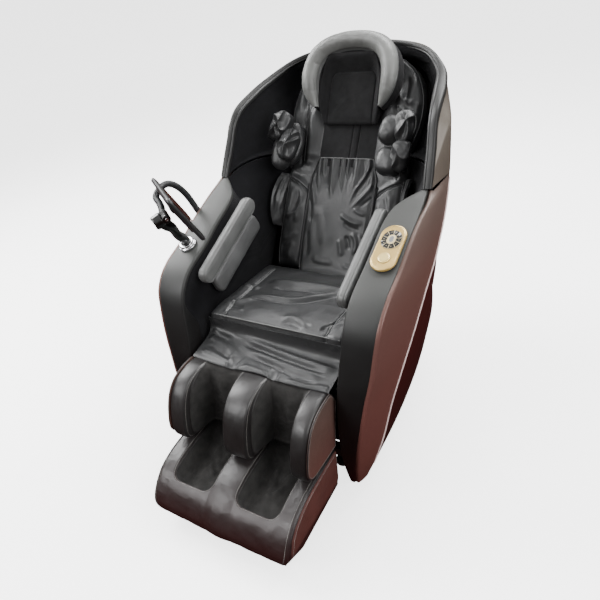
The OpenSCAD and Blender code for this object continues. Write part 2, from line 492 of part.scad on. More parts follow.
hood_lining();
back_cushion();
headrest_pad();
head_pillow();
shoulder_airbags();
leg_rest_frame();
calf_cushions();
calf_side_panels();
foot_box();
foot_liners();
foot_rollers();
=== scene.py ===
import bpy, bmesh, json, math
import numpy as np
from mathutils import Vector, Matrix
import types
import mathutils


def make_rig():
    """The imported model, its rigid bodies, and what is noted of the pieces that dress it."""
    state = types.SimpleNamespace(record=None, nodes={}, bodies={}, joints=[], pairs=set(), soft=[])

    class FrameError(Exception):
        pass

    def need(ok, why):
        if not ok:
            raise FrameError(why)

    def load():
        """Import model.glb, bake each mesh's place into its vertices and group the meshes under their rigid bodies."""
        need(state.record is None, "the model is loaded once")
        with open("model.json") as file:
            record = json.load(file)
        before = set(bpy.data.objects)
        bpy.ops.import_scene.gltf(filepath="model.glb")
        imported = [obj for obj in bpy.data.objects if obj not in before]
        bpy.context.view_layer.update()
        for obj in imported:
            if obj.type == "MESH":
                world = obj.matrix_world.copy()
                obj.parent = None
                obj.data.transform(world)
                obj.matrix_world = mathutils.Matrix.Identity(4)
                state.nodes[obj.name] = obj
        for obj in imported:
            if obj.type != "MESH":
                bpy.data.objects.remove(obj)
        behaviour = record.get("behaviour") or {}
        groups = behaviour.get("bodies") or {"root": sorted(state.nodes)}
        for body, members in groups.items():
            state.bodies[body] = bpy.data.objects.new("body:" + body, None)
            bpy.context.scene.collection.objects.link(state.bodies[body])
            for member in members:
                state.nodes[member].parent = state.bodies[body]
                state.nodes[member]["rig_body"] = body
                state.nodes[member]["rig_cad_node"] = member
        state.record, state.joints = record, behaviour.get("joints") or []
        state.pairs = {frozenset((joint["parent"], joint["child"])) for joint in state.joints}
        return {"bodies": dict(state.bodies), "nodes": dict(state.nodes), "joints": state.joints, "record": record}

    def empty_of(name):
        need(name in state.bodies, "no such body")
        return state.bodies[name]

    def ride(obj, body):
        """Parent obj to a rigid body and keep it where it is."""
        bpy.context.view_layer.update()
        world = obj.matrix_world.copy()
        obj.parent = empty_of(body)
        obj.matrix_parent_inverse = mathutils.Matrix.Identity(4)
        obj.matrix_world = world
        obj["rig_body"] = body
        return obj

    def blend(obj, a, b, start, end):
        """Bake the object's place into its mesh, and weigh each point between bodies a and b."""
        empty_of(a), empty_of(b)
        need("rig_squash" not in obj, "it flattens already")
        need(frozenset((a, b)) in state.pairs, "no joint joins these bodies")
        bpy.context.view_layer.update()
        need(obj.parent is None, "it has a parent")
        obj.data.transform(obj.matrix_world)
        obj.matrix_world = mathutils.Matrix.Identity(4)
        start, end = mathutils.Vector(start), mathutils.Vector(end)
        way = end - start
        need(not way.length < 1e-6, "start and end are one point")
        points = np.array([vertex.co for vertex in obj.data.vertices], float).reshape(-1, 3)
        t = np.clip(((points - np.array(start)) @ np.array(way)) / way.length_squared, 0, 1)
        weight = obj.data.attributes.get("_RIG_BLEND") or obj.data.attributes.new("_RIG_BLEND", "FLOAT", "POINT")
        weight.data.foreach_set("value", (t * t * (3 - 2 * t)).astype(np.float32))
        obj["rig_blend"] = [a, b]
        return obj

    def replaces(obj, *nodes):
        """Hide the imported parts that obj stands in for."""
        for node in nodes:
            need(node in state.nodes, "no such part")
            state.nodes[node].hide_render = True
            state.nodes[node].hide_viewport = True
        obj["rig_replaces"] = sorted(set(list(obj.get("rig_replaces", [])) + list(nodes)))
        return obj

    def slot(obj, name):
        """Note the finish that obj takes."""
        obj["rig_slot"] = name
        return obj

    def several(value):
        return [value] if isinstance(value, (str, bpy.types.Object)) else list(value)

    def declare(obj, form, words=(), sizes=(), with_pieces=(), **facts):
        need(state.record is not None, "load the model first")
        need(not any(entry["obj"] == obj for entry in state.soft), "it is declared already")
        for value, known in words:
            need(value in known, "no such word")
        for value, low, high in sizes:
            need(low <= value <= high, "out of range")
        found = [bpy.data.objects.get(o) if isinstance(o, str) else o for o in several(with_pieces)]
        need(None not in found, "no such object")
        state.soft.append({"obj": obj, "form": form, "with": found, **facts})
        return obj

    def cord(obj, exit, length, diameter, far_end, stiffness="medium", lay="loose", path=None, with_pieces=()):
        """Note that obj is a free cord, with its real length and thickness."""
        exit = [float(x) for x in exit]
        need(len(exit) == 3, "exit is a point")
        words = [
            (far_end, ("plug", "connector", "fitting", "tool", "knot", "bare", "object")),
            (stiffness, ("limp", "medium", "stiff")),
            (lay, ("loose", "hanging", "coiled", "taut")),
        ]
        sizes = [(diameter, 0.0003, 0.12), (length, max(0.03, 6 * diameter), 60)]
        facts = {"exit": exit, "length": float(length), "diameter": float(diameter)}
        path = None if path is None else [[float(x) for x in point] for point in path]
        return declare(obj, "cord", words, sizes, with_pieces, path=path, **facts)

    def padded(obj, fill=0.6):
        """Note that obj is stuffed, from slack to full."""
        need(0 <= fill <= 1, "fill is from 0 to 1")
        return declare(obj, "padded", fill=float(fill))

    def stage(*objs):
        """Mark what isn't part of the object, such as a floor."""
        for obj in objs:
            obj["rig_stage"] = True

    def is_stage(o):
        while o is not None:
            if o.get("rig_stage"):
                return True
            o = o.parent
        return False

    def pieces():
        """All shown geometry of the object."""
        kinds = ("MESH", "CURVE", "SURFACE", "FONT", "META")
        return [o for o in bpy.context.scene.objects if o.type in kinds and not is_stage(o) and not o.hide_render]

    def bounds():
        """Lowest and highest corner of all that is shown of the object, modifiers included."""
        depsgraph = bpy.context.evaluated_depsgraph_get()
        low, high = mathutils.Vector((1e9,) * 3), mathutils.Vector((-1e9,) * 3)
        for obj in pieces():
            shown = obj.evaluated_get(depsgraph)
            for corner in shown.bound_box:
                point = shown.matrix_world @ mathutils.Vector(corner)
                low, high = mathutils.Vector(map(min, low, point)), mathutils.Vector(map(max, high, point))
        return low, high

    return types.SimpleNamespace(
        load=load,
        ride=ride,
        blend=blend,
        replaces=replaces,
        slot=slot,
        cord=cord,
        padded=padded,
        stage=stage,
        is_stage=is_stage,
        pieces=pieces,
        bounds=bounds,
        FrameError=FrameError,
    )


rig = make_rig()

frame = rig.load()
LO0, HI0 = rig.bounds()
OY = 103.6          # the working frame's y offset, mm
BA = math.radians(56.2)
HY, HZ = 120.0, 420.0
scene = bpy.context.scene

# ------------------------------------------------------------------ maths
def pchip(x, tab):
    t = np.asarray(tab, float)
    xs, ys = t[:, 0], t[:, 1]
    x = np.clip(np.asarray(x, float), xs[0], xs[-1])
    h = np.diff(xs); d = np.diff(ys) / h
    m = np.zeros_like(ys)
    a, b = d[:-1], d[1:]
    w1 = 2 * h[1:] + h[:-1]; w2 = h[1:] + 2 * h[:-1]
    ok = a * b > 0
    m[1:-1] = np.where(ok, (w1 + w2) / (w1 / np.where(ok, a, 1) + w2 / np.where(ok, b, 1)), 0)
    m[0], m[-1] = d[0], d[-1]
    i = np.clip(np.searchsorted(xs, x, side="right") - 1, 0, len(xs) - 2)
    s = (x - xs[i]) / h[i]
    return ((1 + 2 * s) * (1 - s) ** 2) * ys[i] + s * (1 - s) ** 2 * h[i] * m[i] + s * s * (3 - 2 * s) * ys[i + 1] + s * s * (s - 1) * h[i] * m[i + 1]


def spline(P, n, closed=False, ts=None):
    """natural cubic through the points, n samples evenly along it"""
    P = np.asarray(P, float)
    if closed:
        P = np.vstack([P[-3:], P, P[:4]])
    c = np.r_[0, np.cumsum(np.sqrt(np.maximum(np.linalg.norm(np.diff(P, axis=0), axis=1), 1e-9)))]
    k = len(P)
    h = np.diff(c)
    A = np.zeros((k, k)); R = np.zeros((k, P.shape[1]))
    A[0, 0] = A[-1, -1] = 1
    for i in range(1, k - 1):
        A[i, i - 1], A[i, i], A[i, i + 1] = h[i - 1], 2 * (h[i - 1] + h[i]), h[i]
        R[i] = 6 * ((P[i + 1] - P[i]) / h[i] - (P[i] - P[i - 1]) / h[i - 1])
    S = np.linalg.solve(A, R)

    def ev(u):
        i = np.clip(np.searchsorted(c, u, side="right") - 1, 0, k - 2)
        a = (c[i + 1] - u)[:, None]; b = (u - c[i])[:, None]; hh = h[i][:, None]
        return (S[i] * a ** 3 + S[i + 1] * b ** 3) / (6 * hh) + (P[i] / hh - S[i] * hh / 6) * a + (P[i + 1] / hh - S[i + 1] * hh / 6) * b
    lo, hi = (c[3], c[-4]) if closed else (c[0], c[-1])
    if ts is not None:
        return ev(np.interp(ts, np.linspace(0, 1, len(c)), c))
    u = np.linspace(lo, hi, 1200)
    Q = ev(u)
    L = np.r_[0, np.cumsum(np.linalg.norm(np.diff(Q, axis=0), axis=1))]
    w = np.linspace(0, L[-1], n + 1)[:-1] if closed else np.linspace(0, L[-1], n)
    return ev(np.interp(w, L, u))


def smooth(a, b, x):
    t = np.clip((np.asarray(x, float) - a) / (b - a), 0, 1)
    return t * t * (3 - 2 * t)


def hash3(i, j, k, s):
    v = np.sin(i * 127.1 + j * 311.7 + k * 74.7 + s * 53.3) * 43758.5453
    return v - np.floor(v)


def noise(P, scale, seed=0):
    """value noise, -1..1, P in mm, scale = size of a lump in mm"""
    Q = np.asarray(P, float) / np.asarray(scale, float)
    f = np.floor(Q); r = Q - f
    r = r * r * r * (r * (r * 6 - 15) + 10)
    out = 0
    for dx in (0, 1):
        for dy in (0, 1):
            for dz in (0, 1):
                w = (r[..., 0] if dx else 1 - r[..., 0]) * (r[..., 1] if dy else 1 - r[..., 1]) * (r[..., 2] if dz else 1 - r[..., 2])
                out = out + w * hash3(f[..., 0] + dx, f[..., 1] + dy, f[..., 2] + dz, seed)
    return out * 2 - 1


def fbm(P, scale, seed=0, octaves=3, gain=0.5):
    out, a = 0, 1.0
    for o in range(octaves):
        out = out + a * noise(np.asarray(P) * 2 ** o, scale, seed + 7 * o)
        a *= gain
    return out


def ridged(P, scale, seed=0, octaves=2):
    out, a = 0, 1.0
    for o in range(octaves):
        out = out + a * (1 - 2 * np.abs(noise(np.asarray(P) * 2 ** o, scale, seed + 11 * o)))
        a *= 0.5
    return out


def seg_dist(X, Y, pl):
    """distance from grid points to a polyline, and the place along it 0..1"""
    pl = np.asarray(pl, float)
    best = np.full(X.shape, 1e9); along = np.zeros(X.shape); side = np.zeros(X.shape)
    L = np.r_[0, np.cumsum(np.linalg.norm(np.diff(pl, axis=0), axis=1))]
    for i in range(len(pl) - 1):
        a, b = pl[i], pl[i + 1]
        d = b - a; l2 = d @ d
        t = np.clip(((X - a[0]) * d[0] + (Y - a[1]) * d[1]) / l2, 0, 1)
        dx, dy = X - a[0] - t * d[0], Y - a[1] - t * d[1]
        dd = np.hypot(dx, dy)
        m = dd < best
        best = np.where(m, dd, best)
        along = np.where(m, (L[i] + t * (L[i + 1] - L[i])) / L[-1], along)
        side = np.where(m, np.sign(d[0] * dy - d[1] * dx), side)
    return best, along, side


def folds(X, Y, lst):
    """sum of folds: (polyline, half width, height[, taper at start, taper at end])"""
    H = np.zeros(X.shape)
    for f in lst:
        pl, w, h = f[:3]
        t0, t1 = (f[3], f[4]) if len(f) > 3 else (0.25, 0.25)
        P = spline(pl, 24) if len(pl) > 2 else np.asarray(pl, float)
        d, a, _ = seg_dist(X, Y, P)
        env = smooth(0, max(t0, 1e-3), a) * smooth(0, max(t1, 1e-3), 1 - a) if (t0 or t1) else 1
        if t0 == 0 and t1 > 0: env = smooth(0, t1, 1 - a)
        if t1 == 0 and t0 > 0: env = smooth(0, t0, a)
        H += h * env * np.exp(-(d / w) ** 2)
    return H


# ------------------------------------------------------------------ outline of the body (mm, as the CAD has it)
EX = [[56, 291], [130, 305], [214, 319], [300, 334], [380, 347], [460, 362], [530, 370], [580, 375], [650, 378], [720, 377.5], [762, 377], [797, 371], [893, 364], [978, 357], [1018, 348], [1053, 318], [1095, 246], [1118, 126], [1125, 2]]
EY = [[56, -472], [130, -488], [214, -494], [300, -488], [380, -474], [460, -455], [530, -437], [580, -420], [620, -390], [650, -347], [681, -271], [722, -189], [761, -97], [797, -6], [893, 47], [978, 104], [1018, 197], [1053, 297], [1095, 380], [1118, 433], [1125, 455]]
CX = [[56, 303], [130, 330], [191, 345], [294, 361], [385, 376], [467, 387], [546, 394], [625, 398], [700, 398], [790, 395], [880, 391], [978, 384], [1018, 358], [1053, 323], [1095, 250], [1118, 128], [1125, 2]]
CY = [[56, -432], [130, -412], [191, -387], [294, -348], [385, -288], [467, -218], [546, -142], [625, -50], [700, 20], [790, 77], [880, 106], [978, 135], [1018, 216], [1053, 309], [1095, 392], [1118, 445], [1125, 467]]
RY = [[56, 285], [100, 350], [200, 449], [300, 497], [400, 517], [430, 521], [500, 536], [560, 548], [700, 572], [860, 586], [1000, 590], [1040, 583], [1080, 562], [1110, 522], [1125, 472]]
PW = [[300, 2.64], [400, 1.95], [496, 1.7], [546, 1.5], [625, 1.3], [700, 1.2], [790, 1.15]]
ex = lambda z: pchip(z, EX)
ey = lambda z: pchip(z, EY)
cx = lambda z: pchip(z, CX)
cy = lambda z: pchip(z, CY)
ry = lambda z: pchip(z, RY)
pw = lambda z: pchip(z, PW)


def W(y, z):
    c, e = cy(z), ey(z)
    f = np.sin(np.pi / 2 * np.clip((y - e) / np.maximum(1, c - e), 0, 1))
    front = ex(z) + (cx(z) - ex(z)) * f
    t = np.clip((y - c) / (ry(z) - c), 0, 1)
    rear = cx(z) * np.sqrt(np.maximum(0, 1 - t ** pw(z)))
    return np.where(y < c, front, rear)


def yw(x, z):
    return cy(z) + (ry(z) - cy(z)) * np.maximum(0, 1 - (x / cx(z)) ** 2) ** (1 / pw(z))


AP = np.array([[-6, 797], [-50, 780], [-97, 761], [-189, 722], [-271, 681], [-347, 650], [-390, 620], [-420, 580], [-437, 530], [-455, 460], [-474, 380], [-488, 300], [-494, 214], [-488, 130], [-472, 56]], float)
AO = np.array([371, 375, 377, 377.5, 378, 378, 378, 375, 370, 362, 347, 334, 319, 305, 291], float)
AI = np.array([343, 300, 277, 273, 272, 272, 272, 271, 268, 261, 257, 257, 258, 260, 262], float)
RO = np.array([[371, -5, 799], [368, 20, 845], [364, 47, 893], [360, 74, 938], [357, 104, 978], [354, 145, 1001], [348, 197, 1018], [336, 248, 1036], [318, 297, 1053], [287, 340, 1074], [246, 380, 1095], [192, 411, 1109], [126, 433, 1118], [64, 447, 1122], [0, 452, 1124]], float)
RI = np.array([[345, -8, 797], [342, 18, 837], [339, 45, 876], [336, 68, 920], [332, 93, 957], [325, 134, 989], [316, 178, 1009], [306, 232, 1028], [293, 284, 1043], [268, 332, 1062], [236, 376, 1079], [186, 409, 1093], [125, 434, 1100], [63, 446, 1103], [0, 450, 1104]], float)


def bk(x, t, s):
    """back frame to the working frame: x across, t rearward, s up along the back"""
    x, t, s = np.broadcast_arrays(np.asarray(x, float), np.asarray(t, float), np.asarray(s, float))
    return np.stack([x, HY + t * math.sin(BA) + s * math.cos(BA), HZ - t * math.cos(BA) + s * math.sin(BA)], -1)


# ------------------------------------------------------------------ mesh helpers
def unit(v):
    return v / np.maximum(np.linalg.norm(v, axis=-1, keepdims=True), 1e-9)


def normals(P, cu=False, cv=False):
    def grad(A, ax, c):
        if c:
            return np.roll(A, -1, ax) - np.roll(A, 1, ax)
        return np.gradient(A, axis=ax)
    return unit(np.cross(grad(P, 0, cu), grad(P, 1, cv)))


def gridf(m, n, cu=False, cv=False, off=0, flip=False):
    i = np.arange(m if cu else m - 1); j = np.arange(n if cv else n - 1)
    I, J = np.meshgrid(i, j, indexing="ij")
    I2, J2 = (I + 1) % m, (J + 1) % n
    F = np.stack([I * n + J, I2 * n + J, I2 * n + J2, I * n + J2], -1).reshape(-1, 4) + off
    return F[:, ::-1] if flip else F


class Parts:
    """collects vertices and faces with a material index each"""
    def __init__(s):
        s.v, s.f, s.m, s.n = [], [], [], 0

    def add(s, V, F, mat=0):
        V = np.asarray(V, float).reshape(-1, 3)
        s.v.append(V)
        for f in F:
            s.f.append([int(a) + s.n for a in f]); s.m.append(mat)
        s.n += len(V)
        return s

    def grid(s, P, cu=False, cv=False, mat=0, flip=False):
        return s.add(P.reshape(-1, 3), gridf(P.shape[0], P.shape[1], cu, cv, 0, flip), mat)


def obj(name, V, F, body, mats, midx=None, replaces=(), slot=None, recalc=True, merge=0.0, smooth_all=True, sharp=None):
    V = np.asarray(V, float).reshape(-1, 3).copy()
    V[:, 1] += OY
    V /= 1000
    me = bpy.data.meshes.new(name)
    me.from_pydata(V.tolist(), [], [list(map(int, f)) for f in F])
    for q in (mats if isinstance(mats, (list, tuple)) else [mats]):
        me.materials.append(getattr(q, "m", q))
    if midx is not None:
        me.polygons.foreach_set("material_index", np.asarray(midx, np.int32))
    if recalc or merge:
        bm = bmesh.new(); bm.from_mesh(me)
        if merge:
            bmesh.ops.remove_doubles(bm, verts=bm.verts, dist=merge / 1000)
            bmesh.ops.dissolve_degenerate(bm, dist=1e-6, edges=bm.edges)
        if recalc:
            bmesh.ops.recalc_face_normals(bm, faces=bm.faces)
        bm.to_mesh(me); bm.free()
    me.polygons.foreach_set("use_smooth", np.full(len(me.polygons), smooth_all))
    if sharp:
        me.set_sharp_from_angle(angle=math.radians(sharp))
    me.update()
    o = bpy.data.objects.new(name, me)
    scene.collection.objects.link(o)
    if body:
        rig.ride(o, body)
    if replaces:
        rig.replaces(o, *replaces)
    if slot:
        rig.slot(o, slot)
    return o


def from_parts(name, p, body, mats, **k):
    return obj(name, np.vstack(p.v), p.f, body, mats, midx=p.m, **k)


def shell_parts(P, t, p=None, N=None, mat=0, matin=None):
    """thick shell from an outer grid, offset inward along the normal by t"""
    p = p or Parts()
    m, n = P.shape[:2]
    N = normals(P) if N is None else N
    Q = P - N * (t[..., None] if isinstance(t, np.ndarray) else t)
    V = np.vstack([P.reshape(-1, 3), Q.reshape(-1, 3)])
    k = m * n
    F = [list(f) for f in gridf(m, n)] + [list(f) for f in gridf(m, n, off=k, flip=True)]
    mi = [mat] * ((m - 1) * (n - 1)) + [mat if matin is None else matin] * ((m - 1) * (n - 1))
    ring = [i * n for i in range(m)] + [(m - 1) * n + j for j in range(1, n)] + [i * n + n - 1 for i in range(m - 2, -1, -1)] + [j for j in range(n - 2, 0, -1)]
    for a, b in zip(ring, ring[1:] + ring[:1]):
        F.append([b, a, a + k, b + k]); mi.append(mat)
    base = p.n
    p.v.append(V); p.n += len(V)
    p.f += [[int(q) + base for q in f] for f in F]; p.m += mi
    return p


def bevel(o, w=2.0, seg=3, ang=40):
    b = o.modifiers.new("bevel", "BEVEL")
    b.width = w / 1000; b.segments = seg; b.limit_method = "ANGLE"; b.angle_limit = math.radians(ang); b.harden_normals = True
    return o


def frames(P, closed=False):
    P = np.asarray(P, float)
    T = unit(np.gradient(P, axis=0)) if not closed else unit(np.roll(P, -1, 0) - np.roll(P, 1, 0))
    U = np.zeros_like(P); u = np.cross(T[0], [0, 0, 1.0])
    if np.linalg.norm(u) < 0.1:
        u = np.cross(T[0], [1.0, 0, 0])
    for i in range(len(P)):
        u = u - T[i] * (u @ T[i]); u = u / np.linalg.norm(u); U[i] = u
    return T, U, np.cross(T, U)


def tube_parts(P, r, n=10, closed=False, p=None, mat=0, flat=1.0, caps=True):
    """round tube; r may be a number or one per point"""
    p = p or Parts()
    P = np.asarray(P, float); T, U, V = frames(P, closed)
    r = np.broadcast_to(np.asarray(r, float), (len(P),))
    a = np.linspace(0, 2 * np.pi, n, endpoint=False)
    G = P[:, None] + r[:, None, None] * (np.cos(a)[None, :, None] * U[:, None] + flat * np.sin(a)[None, :, None] * V[:, None])
    if closed or not caps:
        p.grid(G, cu=closed, cv=True, mat=mat)
        return p
    # rounded ends
    e0 = [P[0] - T[0] * r[0] * math.sin(b) + r[0] * math.cos(b) * (np.cos(a)[:, None] * U[0] + flat * np.sin(a)[:, None] * V[0]) for b in (1.2, 0.7)]
    e1 = [P[-1] + T[-1] * r[-1] * math.sin(b) + r[-1] * math.cos(b) * (np.cos(a)[:, None] * U[-1] + flat * np.sin(a)[:, None] * V[-1]) for b in (0.7, 1.2)]
    G = np.concatenate([np.array(e0), G, np.array(e1)])
    base = p.n; m = len(G)
    p.grid(G, cv=True, mat=mat)
    c0, c1 = p.n, p.n + 1
    p.v.append(np.array([P[0] - T[0] * r[0], P[-1] + T[-1] * r[-1]])); p.n += 2
    for j in range(n):
        p.f.append([c0, base + (j + 1) % n, base + j]); p.m.append(mat)
        p.f.append([c1, base + (m - 1) * n + j, base + (m - 1) * n + (j + 1) % n]); p.m.append(mat)
    return p


def stitch_parts(P, spacing=5.5, length=3.6, r=0.55, p=None, mat=0, closed=False):
    """short threads along a dense path"""
    p = p or Parts()
    P = np.asarray(P, float)
    if closed:
        P = np.vstack([P, P[:1]])
    L = np.r_[0, np.cumsum(np.linalg.norm(np.diff(P, axis=0), axis=1))]
    n = int(L[-1] / spacing)
    at = lambda s: np.array([np.interp(s, L, P[:, k]) for k in range(3)])
    for i in range(n):
        s = (i + 0.5) * spacing
        Q = np.array([at(s - length / 2), at(s), at(s + length / 2)])
        tube_parts(Q, [r * 0.75, r, r * 0.75], n=5, p=p, mat=mat)
    return p


def mirror_parts(p):
    q = Parts()
    q.v = [v * [-1, 1, 1] for v in p.v]; q.f = [f[::-1] for f in p.f]; q.m = list(p.m); q.n = p.n
    return q


# ------------------------------------------------------------------ materials
def srgb(*c):
    c = [v / 255 for v in c]
    return tuple((v / 12.92 if v <= 0.04045 else ((v + 0.055) / 1.055) ** 2.4) for v in c) + (1,)


class Mat:
    def __init__(s, name, color=(0.5, 0.5, 0.5, 1), rough=0.5, metal=0.0, spec=0.5, coat=0.0, coat_rough=0.1, sheen=0.0):
        s.m = bpy.data.materials.new(name); s.m.use_nodes = True
        s.nt = s.m.node_tree; s.b = s.nt.nodes["Principled BSDF"]
        s.m.diffuse_color = color
        i = s.b.inputs
        i["Base Color"].default_value = color; i["Roughness"].default_value = rough; i["Metallic"].default_value = metal
        i["Specular IOR Level"].default_value = spec; i["Coat Weight"].default_value = coat; i["Coat Roughness"].default_value = coat_rough
        i["Sheen Weight"].default_value = sheen
        s.tc = s.nt.nodes.new("ShaderNodeTexCoord")
        s.h = None

    def node(s, kind, **k):
        n = s.nt.nodes.new(kind)
        for a, v in k.items():
            if a in n.inputs.keys():
                n.inputs[a].default_value = v
            else:
                setattr(n, a, v)
        return n

    def link(s, a, b):
        s.nt.links.new(a, b)

    def coords(s, scale=(1, 1, 1), rot=(0, 0, 0)):
        mp = s.nt.nodes.new("ShaderNodeMapping")
        mp.inputs["Scale"].default_value = scale; mp.inputs["Rotation"].default_value = rot
        s.link(s.tc.outputs["Object"], mp.inputs["Vector"])
        return mp.outputs["Vector"]

    def noise(s, scale, detail=2.0, rough=0.5, vec=None, dist=0.0):
        n = s.nt.nodes.new("ShaderNodeTexNoise")
        n.inputs["Scale"].default_value = scale; n.inputs["Detail"].default_value = detail; n.inputs["Roughness"].default_value = rough
        n.inputs["Distortion"].default_value = dist
        s.link(vec or s.tc.outputs["Object"], n.inputs["Vector"])
        return n.outputs["Fac"]

    def voronoi(s, scale, feature="F1", vec=None, rand=1.0):
        n = s.nt.nodes.new("ShaderNodeTexVoronoi"); n.feature = feature
        n.inputs["Scale"].default_value = scale; n.inputs["Randomness"].default_value = rand
        s.link(vec or s.tc.outputs["Object"], n.inputs["Vector"])
        return n.outputs["Distance"]

    def ramp(s, fac, stops, interp="LINEAR"):
        r = s.nt.nodes.new("ShaderNodeValToRGB"); r.color_ramp.interpolation = interp
        e = r.color_ramp.elements
        while len(e) < len(stops):
            e.new(0.5)
        for el, (p, c) in zip(e, stops):
            el.position = p; el.color = c if len(c) == 4 else (*c, 1)
        s.link(fac, r.inputs["Fac"])
        return r.outputs["Color"]

    def rng(s, fac, a, b, lo, hi):
        n = s.nt.nodes.new("ShaderNodeMapRange"); n.inputs["From Min"].default_value = a; n.inputs["From Max"].default_value = b
        n.inputs["To Min"].default_value = lo; n.inputs["To Max"].default_value = hi
        s.link(fac, n.inputs["Value"])
        return n.outputs["Result"]

    def mix(s, fac, a, b, kind="MIX"):
        n = s.nt.nodes.new("ShaderNodeMix"); n.data_type = "RGBA"; n.blend_type = kind
        for sock, v in ((n.inputs[0], fac), (n.inputs[6], a), (n.inputs[7], b)):
            if hasattr(v, "links") or hasattr(v, "is_output"):
                s.link(v, sock)
            else:
                sock.default_value = v
        return n.outputs[2]

    def math(s, op, a, b=None, clamp=False):
        n = s.nt.nodes.new("ShaderNodeMath"); n.operation = op; n.use_clamp = clamp
        for sock, v in ((n.inputs[0], a), (n.inputs[1], b)):
            if v is None: continue
            if hasattr(v, "is_output"):
                s.link(v, sock)
            else:
                sock.default_value = v
        return n.outputs[0]

    def xyz(s):
        n = s.nt.nodes.new("ShaderNodeSeparateXYZ"); s.link(s.tc.outputs["Object"], n.inputs[0])
        return n.outputs

    def color(s, sock):
        s.link(sock, s.b.inputs["Base Color"]); return s

    def rough(s, sock):
        s.link(sock, s.b.inputs["Roughness"]); return s

    def bump(s, height, strength, dist):
        n = s.nt.nodes.new("ShaderNodeBump"); n.inputs["Strength"].default_value = strength; n.inputs["Distance"].default_value = dist
        s.link(height, n.inputs["Height"])
        if s.h is not None:
            s.link(s.h, n.inputs["Normal"])
        s.h = n.outputs["Normal"]
        s.link(s.h, s.b.inputs["Normal"])
        return s


def leather(name, col, rough=0.4, grain=1.0, spec=0.5, coat=0.0, var=0.25, wrinkle=0.25):
    m = Mat(name, (*col, 1), rough, spec=spec, coat=coat, coat_rough=0.3)
    a = m.noise(9, 3); c2 = tuple(v * (1 - var) for v in col) + (1,); c3 = tuple(min(1, v * (1 + var)) for v in col) + (1,)
    m.color(m.ramp(a, [(0.3, c2), (0.7, c3)]))
    b = m.noise(30, 3)
    m.rough(m.rng(b, 0.25, 0.75, rough - 0.06, rough + 0.08))
    cell = m.voronoi(520, "DISTANCE_TO_EDGE")
    m.bump(m.rng(cell, 0.0, 0.35, 0.0, 1.0), 0.22 * grain, 0.0006)
    m.bump(m.noise(900, 2), 0.12 * grain, 0.0004)
    w = m.noise(70, 4, 0.6, dist=0.6)
    m.bump(w, wrinkle, 0.0012)
    return m


def plastic(name, col, rough=0.4, metal=0.0, coat=0.0, speck=0.10, coat_rough=0.12):
    m = Mat(name, (*col, 1), rough, metal=metal, coat=coat, coat_rough=coat_rough)
    a = m.noise(420, 2); lo = tuple(v * (1 - speck) for v in col) + (1,); hi = tuple(min(1, v * (1 + speck)) for v in col) + (1,)
    m.color(m.ramp(a, [(0.35, lo), (0.65, hi)]))
    m.rough(m.rng(m.noise(14, 3), 0.3, 0.7, rough - 0.04, rough + 0.05))
    m.bump(m.noise(700, 2), 0.05, 0.0003)
    return m


def fabric(name, col, rough=0.9, scale=900, sheen=0.04, strength=0.35):
    m = Mat(name, (*col, 1), rough, spec=0.2, sheen=sheen)
    w1 = m.node("ShaderNodeTexWave", wave_type="BANDS", bands_direction="X"); w1.inputs["Scale"].default_value = scale; w1.inputs["Distortion"].default_value = 0.8
    w2 = m.node("ShaderNodeTexWave", wave_type="BANDS", bands_direction="Z"); w2.inputs["Scale"].default_value = scale; w2.inputs["Distortion"].default_value = 0.8
    v = m.coords()
    m.link(v, w1.inputs["Vector"]); m.link(v, w2.inputs["Vector"])
    h = m.math("MULTIPLY", w1.outputs["Fac"], w2.outputs["Fac"])
    m.bump(h, strength, 0.0005)
    m.bump(m.noise(60, 4, 0.6), 0.25, 0.001)
    a = m.noise(40, 4); lo = tuple(v * 0.75 for v in col) + (1,); hi = tuple(v * 1.3 for v in col) + (1,)
    m.color(m.ramp(a, [(0.3, lo), (0.7, hi)]))
    return m


def metal(name, col, rough=0.3, brushed=None):
    m = Mat(name, (*col, 1), rough, metal=1.0)
    v = m.coords(brushed or (1, 1, 1))
    n = m.noise(300, 3, vec=v)
    m.rough(m.rng(n, 0.3, 0.7, max(0.03, rough - 0.06), rough + 0.08))
    m.bump(n, 0.04, 0.0003)
    return m


L_BLACK = leather("leather_black", (0.020, 0.0205, 0.021), 0.42, 0.7, 0.50, wrinkle=0.12)
L_HIP = leather("leather_hip", (0.080, 0.081, 0.081), 0.44, 0.8, 0.5, wrinkle=0.10)
L_PAD = leather("leather_pad", (0.092, 0.094, 0.092), 0.38, 0.8, 0.5, wrinkle=0.15)
L_PILLOW = leather("leather_pillow", (0.135, 0.138, 0.132), 0.42, 0.8, 0.5, wrinkle=0.12)
F_BLACK = fabric("fabric_black", (0.0085, 0.0085, 0.009), 0.85)
F_LINING = fabric("fabric_lining", (0.003, 0.003, 0.004), 0.95, sheen=0.05)
F_WELL = fabric("fabric_well", (0.024, 0.023, 0.022), 0.88, scale=600)


def legs_leather():
    m = leather("leather_legs", (0.013, 0.0118, 0.0118), 0.36, 0.8, 0.5, wrinkle=0.12)
    z = m.xyz()[2]
    old = m.b.inputs["Base Color"].links[0].from_socket
    # darker and redder towards the floor: painted shade and a painted red floor bounce on the lower leather
    f = m.rng(z, 0.030, 0.24, 1.0, 0.0)
    f2 = m.math("POWER", f, 2.0)
    m.color(m.mix(f2, old, (0.032, 0.0055, 0.005, 1)))
    return m


L_LEG = legs_leather()


